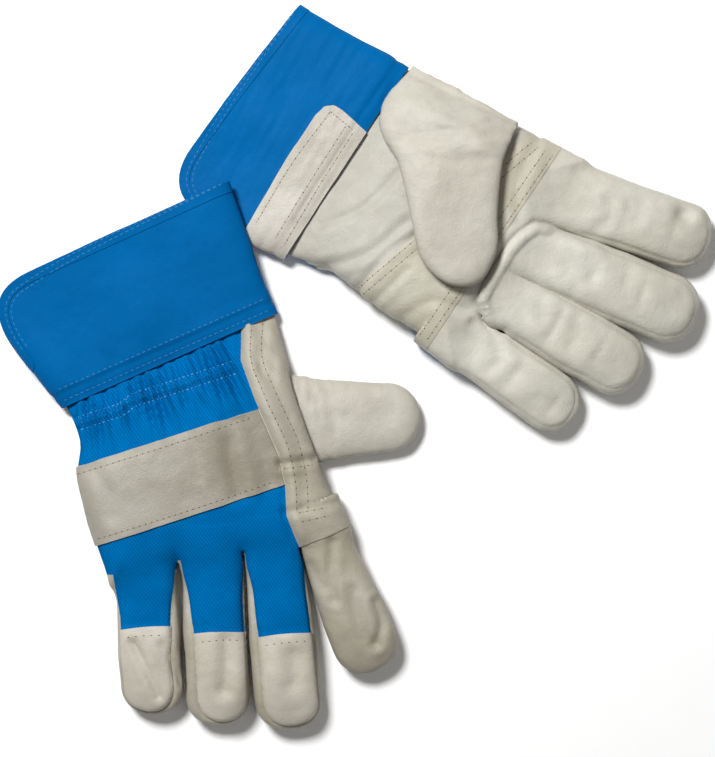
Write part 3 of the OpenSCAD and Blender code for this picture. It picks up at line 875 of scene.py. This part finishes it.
def cuff_heights(side, uv):
    away = np.maximum(-from_wrist(side, uv), 0)
    if side == RIGHT:
        droop = smooth(uv[:, 1], -10, -70) * smooth(away, 5, 60)
        bottom = 0.3 + TILT * away * smooth(away, -10, 25) - 3.5 * droop
        top = bottom + CUFF_TOP - 1.2 * smooth(away, 10, 70) - 1.0 * droop - 2.0 * smooth(away, 9, 0)
    else:
        bottom = 0.3 + 0 * away
        corner = np.hypot(uv[:, 0] + 86, uv[:, 1] + 58)
        top = CUFF_LOW + (CUFF_TOP - CUFF_LOW) * smooth(corner, 22, 74) - 2.0 * smooth(away, 9, 0)
    return bottom, top


def cuff_field(side, points):
    uv, z = points[:, :2], points[:, 2]
    bottom, top = cuff_heights(side, uv)
    mid, h = (top + bottom) / 2, (top - bottom) / 2
    q = np.maximum(1 + TO_CUFF[side](uv) / 13, 0)
    return pillow(q, z, mid, h, 2.2, 6)


def mouth_field(side, uv):
    """Distance inside the cuff's mouth; negative outside."""
    d, _, turn = to_line(uv, MOUTH_LINE[side])
    return d * turn

# ---------------------------------------------------------------- relief


def shirr(at, v):
    """A point of a shirred row; the rows step where the canvas folds, near their left third."""
    return at + 2.6 * smooth(v, -19, -25), v


def gathers(uv, v, rows, seed):
    """Gathers at the elastic rows, and folds that fan out from them towards the strap."""
    u, w = uv.T
    near = bump(u + 5, 9) + 0.75 * bump(u - 5, 12)
    d = 0.9 * near * rows * noise(v, (30, 4.6, 40), seed)
    for k in range(15):
        r1, r2, r3 = (math.sin(7.3 * k + 1) + 1) / 2, math.sin(12.9 * k + 2), math.sin(4.1 * k)
        at = -46 + 5.7 * k + 1.6 * r2 + (u + 5) * (0.16 * (k / 7 - 1) + 0.10 * r3)
        fall = smooth(u, 15 + 6 * r1, 0)
        d = d + rows * fall * (1.7 + 1.9 * r1) * (bump(w - at, 2.1) - 0.6 * bump(w - at - 3.0, 1.8))
    d = d + 1.8 * rows * bump(w + 21 + 0.5 * (u + 6), 2.6) * smooth(u, 12, -2)
    step = shirr(0, w)[0]
    for at in ELASTIC:
        d = d - 0.9 * bump(u - at - step, 1.4) * rows
    return d + 0.8 * bump(u - sum(ELASTIC) / 2 - step, 2.2) * rows


def strip_roll(side, uv, v, back, seed):
    """The side strip rolls over the back's edge, and the back sinks in beside it."""
    u = uv[:, 0]
    dist, _, turn = to_line(uv, STRIP[side])
    on = turn * dist
    d = back * smooth(u, 92, 80) * (1.7 * bump(on - 3.6, 3.4) - 1.6 * bump(on + 1.0, 2.2))
    d = d - back * 2.4 * bump(on + 7.5, 6.5) * smooth(u, 10, 22) * smooth(u, 66, 54)
    if side == RIGHT:
        d = d - 0.7 * back * bump(on - 11, 2.6) * smooth(u, 70, 40)
        d = d + 0.9 * back * smooth(on, 0, 4) * smooth(u, 16, -10) * noise(v, (9, 3.2, 9), seed)
    return d


def right_finger_relief(f, uv, v, back, seed):
    """Knuckle, the groove round the back panel, and the cap's dents."""
    s, t = f.station(uv)
    on_it = bump(t, 12) * smooth(f.edge(uv), 3, 0)
    d = 0.8 * back * bump(s + 10, 12) * bump(t, 10)
    if not f.cap:
        return d + 0.8 * on_it * noise(v, (21, 13, 30), seed + 31)
    d = d - 1.3 * back * bump(f.edge(uv, f.inset, TIP_MARGIN), 1.1) * smooth(s, 0, 16)
    d = d + 1.7 * smooth(s, f.cap - 2, f.cap + 14) * on_it * noise(v, (16, 11, 30), seed + 21)
    return d - 0.5 * bump(s - f.cap + 2, 2.5) * on_it * back


def left_finger_relief(f, uv, v, palm, seed):
    """Soft dents, the groove beside the seam, and a valley at each finger joint."""
    s, t = f.station(uv)
    inside = smooth(f.edge(uv), 2, -6) * smooth(s, -24, -14)
    d = 1.3 * inside * noise(v, (22, 14, 30), seed, 2) * palm
    d = d - 0.6 * palm * bump(f.edge(uv) + 1.9, 1.0) * smooth(s, 2, 16)
    d = d - 0.8 * palm * inside * bump(s - 27, 3.0) * bump(t, 9)
    return d - 0.6 * palm * inside * bump(s - 52, 2.6) * bump(t, 8)


def hand_relief(side, v, n, seed):
    uv = v[:, :2]
    u, w = uv.T
    back = smooth(n[:, 2] if side == RIGHT else -n[:, 2], 0.0, 0.6)
    palm = 1 - back
    rows = back * smooth(w, 40, 33) * smooth(from_wrist(side, uv), -2, 4)
    d = gathers(uv, v, rows, seed + 9) + strip_roll(side, uv, v, back, seed + 3)
    for f in (FORMS[side, name] for name in FINGERS):
        d = d + (right_finger_relief(f, uv, v, back, seed) if side == RIGHT else
                 left_finger_relief(f, uv, v, palm, seed + 41))
    if side == RIGHT:
        d = d + 0.3 * bump(u - 37, 16) * back * bump(np.abs(w) - 10, 18)
    else:
        # The heel's swell, the rolled seam round two fingers, and the index finger's folded tip.
        d = d + 1.2 * palm * bump(u - 6, 26) * bump(w + 24, 22)
        inside = -TO_FACING(uv)
        d = d + smooth(u, 97, 90) * palm * (1.6 * bump(inside - 2.0, 2.0) - 1.2 * bump(inside + 1.3, 1.5))
        d = d - 2.8 * palm * bump(u - 147, 5) * bump(w - 65, 5)
        d = d + 1.0 * palm * bump(u - 155, 3.5) * bump(w - 66, 6)
    shown = back if side == RIGHT else palm
    for line, width, depth in CREASES[side]:
        dist, _, _ = to_line(uv, curve(line, 11) if len(line) > 2 else line)
        d = d + shown * (-depth * bump(dist, width) + 0.4 * depth * bump(dist - 1.9 * width, width))
    return d


def thumb_relief(side, v, n, seed):
    u, w = v[:, 0], v[:, 1]
    root, tip = np.array(THUMB_AXIS[side])
    s = (v[:, :2] - root) @ unit(tip - root)
    d = 0.45 * smooth(s, 48, 12) * noise(np.stack([u, w, s], 1), (9, 5, 4), seed + 61, 2)
    d = d + 0.5 * noise(v, 14, seed + 62)
    if side == LEFT:
        return d - 1.2 * bump(s - 20, 4) * bump(u - 24, 18) - 0.9 * bump(s - 33, 3.2) * bump(u - 38, 16)
    return d - 0.7 * bump(s - 29, 3) * bump(u - 36, 11)


def cuff_relief(side, v, n, seed):
    away = -from_wrist(side, v[:, :2])
    d = noise(v, (46, 30, 60), seed + 71, 2) * smooth(away, 0, 14)
    d = d + 0.5 * bump(away - 8, 9) * noise(v, (30, 7, 60), seed + 73)
    d = d - 0.5 * bump(away - 6.5, 1.6)
    if side == LEFT:
        d = d + 0.25 * noise(v, (3.0, 26, 30), seed + 75, 2) * smooth(n[:, 2], 0.2, 0.7)
    return d


# ---------------------------------------------------------------- skins, cut into panels


def grow_skin(field, lo, hi, side, part_relief):
    """A closed skin on the field's zero surface, shaped by slow waves and the part's own relief."""
    v, t = surface_net(field, lo, hi, GRID)
    v = settle(v, t, field)
    skin = Skin(v, t)
    n = vertex_normals(v, t)
    seed = 11 if side == RIGHT else 53
    waves = 0.45 * noise(v, 26, seed, 2) + 0.16 * noise(v, 7, seed + 5, 2)
    skin.v = v + n * (waves + part_relief(side, v, n, seed))[:, None]
    return skin


def hand_skin(side):
    """The hand and the fingers, cut into their panels."""
    up = 1 if side == RIGHT else -1
    forms = [FORMS[side, name] for name in FINGERS]

    def owner(p):
        """Which finger each point is nearest to."""
        return np.argmin(np.stack([f.edge(p[:, :2]) for f in forms], 1), 1)

    def beyond(name, p):
        """How far past its start line each point is."""
        if side == LEFT and name in ("middle", "ring"):
            return -TO_FACING(p[:, :2])
        return FORMS[side, name].station(p[:, :2])[0] + BLEND_BACK

    def back_half(p):
        bottom, top = hand_heights(side, p[:, :2])
        past = smooth(p[:, 0], 60, 95)
        return up * (p[:, 2] - ((bottom + top) / 2 * (1 - past) + 10.9 * past))

    def over_strip(p):
        dist, _, turn = to_line(p[:, :2], STRIP[side])
        return turn * dist

    def little_side(p):
        if side == RIGHT:
            return np.minimum(-p[:, 1] - 10, TO_HAND[side](p[:, :2]) + 7)
        return np.minimum(-p[:, 1], p[:, 2] - 6.0)

    skin = grow_skin(lambda p: hand_field(side, p), (-48, -80, -1.5), (182, 88, 27), side, hand_relief)
    skin.trim(lambda p: from_wrist(side, p[:, :2]) + WRIST_TUCK)
    skin.label[:] = "hand"
    for i, name in enumerate(FINGERS):
        c = skin.middle()
        skin.cut(lambda p: beyond(name, p), (owner(c) == i) & (c[:, 0] > FINGER_FROM))
    c = skin.middle()
    own = owner(c)
    for i, name in enumerate(FINGERS):
        skin.label[(own == i) & (beyond(name, c) > 0) & (c[:, 0] > FINGER_FROM)] = f"{name}_front"

    skin.split(back_half, {"index_front": "index_back", "hand": "back_lower"})
    skin.label[skin.label == "hand"] = "palm_upper"
    skin.split(over_strip, {"back_lower": "side_strip"})
    skin.split(lambda p: STRAP[0] - p[:, 0], {"back_lower": "back_upper"})
    skin.split(lambda p: STRAP[1] - p[:, 0], {"back_lower": "knuckle_strap"})
    skin.split(lambda p: line_field(p[:, :2], *HEEL_SEAM), {"palm_upper": "palm_heel"})
    skin.split(lambda p: line_field(p[:, :2], *UPPER_SEAM), {"palm_upper": "palm_patch"})
    wrapped = PALM if side == RIGHT else ("back_upper", "back_lower", "knuckle_strap")
    skin.split(little_side, dict.fromkeys(wrapped, "side_wrap"))
    if side == RIGHT:
        # The skin over the thumb belongs to the palm's heel.
        c = skin.middle()
        room = np.min([right_thumb_field(c, turn, THUMB_ROOM) for turn in THUMB_TURNS], 0)
        skin.label[room < 0.25] = "palm_heel"

    # The back of each finger is a tongue with a leather cap at the tip.
    for name, f in zip(FINGERS[1:], forms[1:]):
        def tongue(p):
            return np.minimum(-f.edge(p[:, :2], f.inset, TIP_MARGIN), up * (p[:, 2] - FINGER_SEAM))

        def past_cap(p):
            s, t = f.station(p[:, :2])
            return s - f.cap - CAP_CURVE * t ** 2
        skin.split(tongue, {f"{name}_front": f"{name}_back"})
        skin.split(past_cap, {f"{name}_back": f"{name}_cap"})
    return skin


def cuff_skin(side):
    """The cuff, open at the wrist and at its mouth."""
    lower, upper = ("cuff_palm", "cuff_back") if side == RIGHT else ("cuff_back", "cuff_palm")

    def upper_half(p):
        bottom, top = cuff_heights(side, p[:, :2])
        return p[:, 2] - (bottom + top) / 2

    skin = grow_skin(lambda p: cuff_field(side, p), (-110, -92, -1.5), (2, 76, 30), side, cuff_relief)
    skin.trim(lambda p: -from_wrist(side, p[:, :2]))
    skin.trim(lambda p: mouth_field(side, p[:, :2]))
    skin.label[:] = "cuff_hem"
    skin.split(lambda p: mouth_field(side, p[:, :2]) - HEM, {"cuff_hem": lower})
    skin.split(upper_half, {lower: upper})
    return skin


def thumb_skin(side):
    if side == RIGHT:
        skin = grow_skin(right_thumb_field, (4, 22, -1.5), (62, 119, 16), side, thumb_relief)
    else:
        skin = grow_skin(left_thumb_field, (-16, -29, 10), (80, 66, 42), side, thumb_relief)

    def upper_half(p):
        if side == RIGHT:
            return p[:, 2] - THUMB_SEAM
        return p[:, 2] - palm_under_thumb(p[:, :2]) - thumb_high(p[:, :2])
    skin.label[:] = "thumb_front"
    skin.split(upper_half, {"thumb_front": "thumb_back"})
    return skin


def vein_skin(side, cuff):
    """The vein patch: a leather strip on the palm side of the cuff."""
    skin = Skin(cuff.v0, cuff.t[cuff.label == "cuff_palm"])
    skin.v = cuff.v.copy()
    skin.trim(lambda p: -to_outline(p[:, :2], VEIN[side]))
    return skin


# ---------------------------------------------------------------- panels

PANELS = []      # (object, side, group) for every panel, used to lay stitches on
# How far a panel that is sewn on top stands above the others.
LIFT = {"knuckle_strap": 1.0, "side_strip": 0.5, "cuff_hem": 0.35, "palm_patch": 0.3,
        "middle_cap": 0.7, "ring_cap": 0.7, "little_cap": 0.7}
FACING_LIFT = 1.5                 # the same, for the panel that faces two left fingers
VEIN_SINK, VEIN_LIFT = 0.1, 1.1   # the vein patch lies this much above the cuff, and stands so high
RAW_EDGED = {"knuckle_strap", "side_strip", "palm_patch"}
BLUE = {"back_upper", "back_lower", "middle_back", "ring_back", "little_back"}


def group_of(label):
    for name in FINGERS:
        if label.startswith(name):
            return name
    if label.startswith("thumb"):
        return "thumb"
    return "cuff" if label.startswith(("cuff", "vein")) else "hand"


def world_point(side, uv, z=0.0):
    return Vector(to_world(side, np.array([[uv[0], uv[1], z]]))[0])


def wrist_frame(side):
    """The wrist line's thumb end, its little finger end, and the direction out to the cuff."""
    a, b = np.array(WRIST[side], float)
    return a, b, unit([-(a - b)[1], (a - b)[0]])


def attach(ob, side, group):
    """Makes a hand piece or a right thumb piece follow its body; a finger, cuff or left thumb piece is only
    baked in place.
    """
    hand = f"{side}_hand"
    if group in FINGERS:
        f = FORMS[side, group]
        world_point(side, f.at(-BLEND_BACK))
        world_point(side, f.at(BLEND_ON))
        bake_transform(ob)
    elif group == "cuff":
        if side == RIGHT:
            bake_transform(ob)
        else:
            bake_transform(ob)
    elif group == "thumb" and side == LEFT:
        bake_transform(ob)
    elif group == "thumb":
        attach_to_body(ob, "right_thumb")
    else:
        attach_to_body(ob, hand)


def material_for(side, label):
    m = MATERIAL[side]
    if label in BLUE:
        return m["drill"]
    for ending, kind in (("_cap", "cap"), ("_strap", "strap"), ("palm_patch", "cream"),
                         ("vein_patch", "vein")):
        if label.endswith(ending):
            return m[kind]
    if label.startswith("cuff"):
        return m["cuff"]
    if label in ("side_strip", "side_wrap", "index_back") or (side == RIGHT and label.endswith("_front")):
        return m["side"] if side == RIGHT else m["finger"]
    if label.startswith("thumb"):
        return m["thumb"]
    return m["finger"] if label.endswith("_front") or label == "palm_upper" else m["palm"]


def add_panel(side, label, v, n, t, lift, thickness, raw):
    """One panel as a shell, which stands for its CAD node; a raw panel's rim shows cut leather."""
    v, tri = shell(v, n, t, lift, thickness)
    material = material_for(side, label)
    ob = make_object(f"{side}_{label}_panel", side, v, tri, material, CUT_EDGE if raw else None, 2 * len(t))
    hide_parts(f"{side}_{label}")
    PANELS.append((ob, side, group_of(label)))


def build_panels(side, skin):
    n = vertex_normals(skin.v, skin.t)
    for label in sorted(set(skin.label)):
        folded = side == LEFT and label in ("middle_front", "ring_front")
        lift = FACING_LIFT if folded else LIFT.get(label, 0.0)
        add_panel(side, label, skin.v, n, skin.t[skin.label == label], lift,
                  HEM_THICK if label == "cuff_hem" else PANEL, folded or label in RAW_EDGED)


def build_inner(side, skin, name, keep, depth, thickness, material):
    """A cloth inside the hand, depth below the plain skin."""
    n = vertex_normals(skin.v0, skin.t)
    v, tri = shell(skin.v0 - n * depth, n, skin.t[keep], 0.0, thickness)
    ob = make_object(f"{side}_{name}_cloth", side, v, tri, material)
    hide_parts(f"{side}_{name}")
    attach(ob, side, "hand")


def build_glove(side):
    hand = hand_skin(side)
    build_panels(side, hand)
    build_inner(side, hand, "palm_lining", np.isin(hand.label, PALM), 3.0, 0.5, LINING)
    u = hand.middle()[:, 0]
    tape = (hand.label == "back_upper") & (u > TAPE[0]) & (u < TAPE[1])
    build_inner(side, hand, "wrist_elastic", tape, 3.4, 0.7, ELASTIC_CLOTH)
    cuff = cuff_skin(side)
    build_panels(side, cuff)
    build_panels(side, thumb_skin(side))
    vein = vein_skin(side, cuff)
    n = vertex_normals(vein.v, vein.t)
    add_panel(side, "vein_patch", vein.v + n * VEIN_SINK, n, vein.t, VEIN_LIFT, 0.0, True)


for side in (RIGHT, LEFT):
    build_glove(side)

# ---------------------------------------------------------------- stitching


class Cloth:
    """The outer faces of some groups of a glove's panels, to drop stitches on."""

    def __init__(self, side, groups):
        verts, faces = [], []
        for ob, its_side, group in PANELS:
            if its_side == side and group in groups:
                start = len(verts)
                verts += [v.co for v in ob.data.vertices]
                faces += [[i + start for i in p.vertices] for p in ob.data.polygons]
        self.tree = BVHTree.FromPolygons(verts, faces)

    def drop(self, side, uv, up):
        start = world_point(side, uv, 60 if up > 0 else -20)
        hit, normal, _, _ = self.tree.ray_cast(start, Vector((0, 0, -up)))
        return hit, normal


def capsule(length, width, height, rings=5, sides=6):
    verts, faces = [], []
    for i in range(rings):
        x = -math.cos(math.pi * i / (rings - 1))
        r = max(math.sqrt(max(1 - x * x, 0)), 0.12) if 0 < i < rings - 1 else 0.15
        for k in range(sides):
            a = 2 * math.pi * k / sides
            verts.append((x * length / 2, r * math.cos(a) * width / 2, r * math.sin(a) * height / 2))
    for i in range(rings - 1):
        for k in range(sides):
            j = (k + 1) % sides
            faces.append((i * sides + k, i * sides + j, (i + 1) * sides + j, (i + 1) * sides + k))
    faces.append(tuple(range(sides))[::-1])
    faces.append(tuple((rings - 1) * sides + k for k in range(sides)))
    return np.array(verts), faces


STITCH = {"long": capsule(2.3, 0.55, 0.5), "short": capsule(1.4, 0.42, 0.45),
          "dot": capsule(1.3, 0.7, 0.5), "hole": capsule(1.6, 0.85, 0.4)}
SINK = 0.12      # how far a stitch is pulled into the leather
WORK = {}        # vertices, faces and material of the stitches, by side, group and material
CLOTHS = {(side, g): Cloth(side, (g,) if g in ("cuff", "thumb") else ("hand",) + FINGERS)
          for side in (RIGHT, LEFT) for g in ("hand", "cuff", "thumb")}


def lay(side, group, uv, heading, kind, material, up, sink=SINK):
    """One stitch or needle hole at uv, lying along the heading."""
    cloth = CLOTHS[side, group if group in ("cuff", "thumb") else "hand"]
    hit, normal = cloth.drop(side, uv, up)
    if hit is None or normal.z * up < 0.15:
        return
    normal = (normal + Vector((0, 0, up)) * 0.6).normalized()
    a = math.radians(ANGLE[side])
    d = Vector((math.cos(a) * heading[0] - math.sin(a) * heading[1],
                math.sin(a) * heading[0] + math.cos(a) * heading[1], 0))
    x = (d - normal * d.dot(normal)).normalized()
    verts, faces = STITCH[kind]
    turn = np.array([x, normal.cross(x), normal]) * MM
    out = verts @ turn + np.array(hit - normal * sink * MM)
    out[:, 2] = np.maximum(out[:, 2], TABLE * MM)
    store = WORK.setdefault((side, group, material.name), ([], [], material))
    start = len(store[0])
    store[0].extend(out.tolist())
    store[1].extend([tuple(i + start for i in f) for f in faces])


def row(side, group, points, up=1, pitch=3.5, material=None, holes=True, kind="long"):
    """A row of stitches along a line, with needle holes between them, drawn as dark marks of painted shade.
    """
    p = np.asarray(points, float)
    length = np.linalg.norm(np.diff(p, axis=0), axis=1).sum()
    count = max(int(length / pitch), 1)
    line = curve(p, count * 2 + 1) if len(p) > 2 else \
        p[0] + np.linspace(0, 1, count * 2 + 1)[:, None] * (p[-1] - p[0])
    for k in range(count):
        a, b = line[2 * k], line[2 * k + 2]
        d = unit(b - a)
        lay(side, group, line[2 * k + 1], d, kind, material, up)
        if holes:
            lay(side, group, a, d, "hole", HOLE_SHADE, up)


def offset(points, by):
    p = np.asarray(points, float)
    d = np.gradient(p, axis=0)
    d /= np.linalg.norm(d, axis=1, keepdims=True)
    return p + np.stack([-d[:, 1], d[:, 0]], 1) * by


def elastic_rows(side, back):
    """Shirred elastic: a ladder of two rows and their rungs across the back of the wrist."""
    for at in ELASTIC:
        row(side, "hand", [shirr(at, k) for k in np.linspace(-47, 36, 12)], back, 2.2, BLUE_THREAD,
            holes=False, kind="short")
    for k in np.arange(-45, 36, 3.1):
        for part in (0.2, 0.5, 0.8):
            lay(side, "hand", shirr(ELASTIC[0] + part * (ELASTIC[1] - ELASTIC[0]), k), (1, 0), "short",
                PALE_CANVAS_THREAD, back, 0.15)


def back_rows(side, back):
    """One row inside each long edge of the strap, and two along the side strip."""
    for at in (STRAP[0] + 3.2, STRAP[1] - 3.2):
        row(side, "hand", [(at, -54), (at + 0.5, 0), (at, 38)], back, 3.0, TAN_THREAD)
    for by in (5.0, 10.5):
        row(side, "hand", offset(STRIP[side][1:-1], by), back, 3.2, TAN_THREAD)


def cap_row(side, name, up):
    """Needle holes, drawn as dark dots of painted shade, along the upper edge of a fingertip cap."""
    f = FORMS[side, name]
    wide = f.half_width(f.cap) - sum(f.inset) / 2 - 2.5
    shift = (f.inset[0] - f.inset[1]) / 2
    edge = [f.at(f.cap + 4.2 + CAP_CURVE * (k * wide) ** 2, k * wide + shift) for k in np.linspace(-1, 1, 7)]
    row(side, name, edge, up, 3.3, HOLE_SHADE, holes=False, kind="dot")


def cuff_rows(side, back):
    """Two rows along the mouth, above and below, and two over the wrist's gathers."""
    mouth = MOUTH_LINE[side]
    inward = 1 if mouth_field(side, offset(mouth, 1))[3] > 0 else -1
    for depth in (4.0, 6.8):
        line = offset(mouth, inward * depth)[1:-1]
        to_thumb = np.array(MOUTH[side]["thumb"]) - line[0]
        line[0] = line[0] + unit(to_thumb) * (np.linalg.norm(to_thumb) - 3)
        for up in (1, -1):
            row(side, "cuff", line, up, 3.0, CUFF_THREAD, holes=False)
    a, b, out = wrist_frame(side)
    for depth in (3.0, 9.0):
        row(side, "cuff", [a + out * depth + unit(b - a) * 3, b + out * depth + unit(a - b) * 3], back,
            3.0, CUFF_THREAD, holes=False)


def palm_rows(side, back):
    """Double rows beside the reinforcement band, and its end seams, which cross the side strip."""
    for (p, q), shifts in ((HEEL_SEAM, (3.2, 7.4)), (UPPER_SEAM, (-6.2, -1.8))):
        for s in shifts:
            row(side, "hand", [(p[0] + s, p[1] + 8), (q[0] + s, q[1] - 2)], -back, 3.4, TAN_THREAD)
    for u0, u1 in ((48.5, 51.5), (71.5, 73.5), (76.0, 77.5)):
        row(side, "hand", [(u0 + 1.2, 44.5), (u1 + 1.2, 59)], back, 3.2, TAN_THREAD)


def vein_rows():
    """Three rows along the left vein patch, and one across its pull end."""
    for line in ([(-30.5, 20.5), (-34, -10), (-35, -46)], [(-20.2, 18.2), (-22, -20), (-22.7, -48)],
                 [(-15.5, 17), (-17, -20), (-17.2, -48)]):
        row(LEFT, "cuff", line, 1, 3.4, TAN_THREAD)
    row(LEFT, "cuff", [(-30, 21.5), (-15, 19)], 1, 3.2, TAN_THREAD)


for side, back in ((RIGHT, 1), (LEFT, -1)):
    elastic_rows(side, back)
    back_rows(side, back)
    for name in FINGERS[1:]:
        cap_row(side, name, back)
    cuff_rows(side, back)
    palm_rows(side, back)
vein_rows()

for (side, group, name), (verts, faces, material) in WORK.items():
    mesh = bpy.data.meshes.new("stitches")
    mesh.from_pydata(verts, [], faces)
    mesh.polygons.foreach_set("use_smooth", [True] * len(mesh.polygons))
    mesh.materials.append(material)
    attach(add_object(f"{side}_{group}_{name}", mesh), side, group)
for ob, side, group in PANELS:
    attach(ob, side, group)

# ---------------------------------------------------------------- table, camera and light

look = Look("table_white")
speck = look.noise(look.place(), 60, 2)
bpy.ops.mesh.primitive_plane_add(size=10, location=(0, 0, 0))
floor = bpy.context.object
floor.name = "table"
floor.data.materials.append(look.finish(look.ramp(speck, (0.3, 0.97), (0.7, 0.98)), 0.8))

camera = bpy.data.cameras.new("camera")
camera.lens = 100
camera.sensor_width = camera.sensor_height = 36
camera.sensor_fit = "VERTICAL"
camera.clip_start = 0.05
cam = add_object("camera", camera)
cam.location = (0.00229, -0.00568, 1.063)
bpy.context.scene.camera = cam

bpy.context.scene.view_settings.view_transform = "Standard"
world = bpy.data.worlds.new("studio")
bpy.context.scene.world = world
world.use_nodes = True
background = world.node_tree.nodes["Background"]
background.inputs["Color"].default_value = (1.0, 1.0, 1.0, 1)
background.inputs["Strength"].default_value = 0.12


def soft_light(name, at, size, power, colour=(1, 1, 1)):
    light = bpy.data.lights.new(name, "AREA")
    light.shape, light.size, light.energy, light.color = "DISK", size, power, colour
    ob = add_object(name, light)
    ob.location = at
    ob.rotation_euler = (Vector((0, 0, 0)) - Vector(at)).to_track_quat("-Z", "Y").to_euler()


soft_light("key", (-0.50, 0.68, 1.24), 0.42, 28.5)
soft_light("fill", (0.6, -0.3, 1.6), 1.4, 3.5, (1.0, 0.96, 0.92))
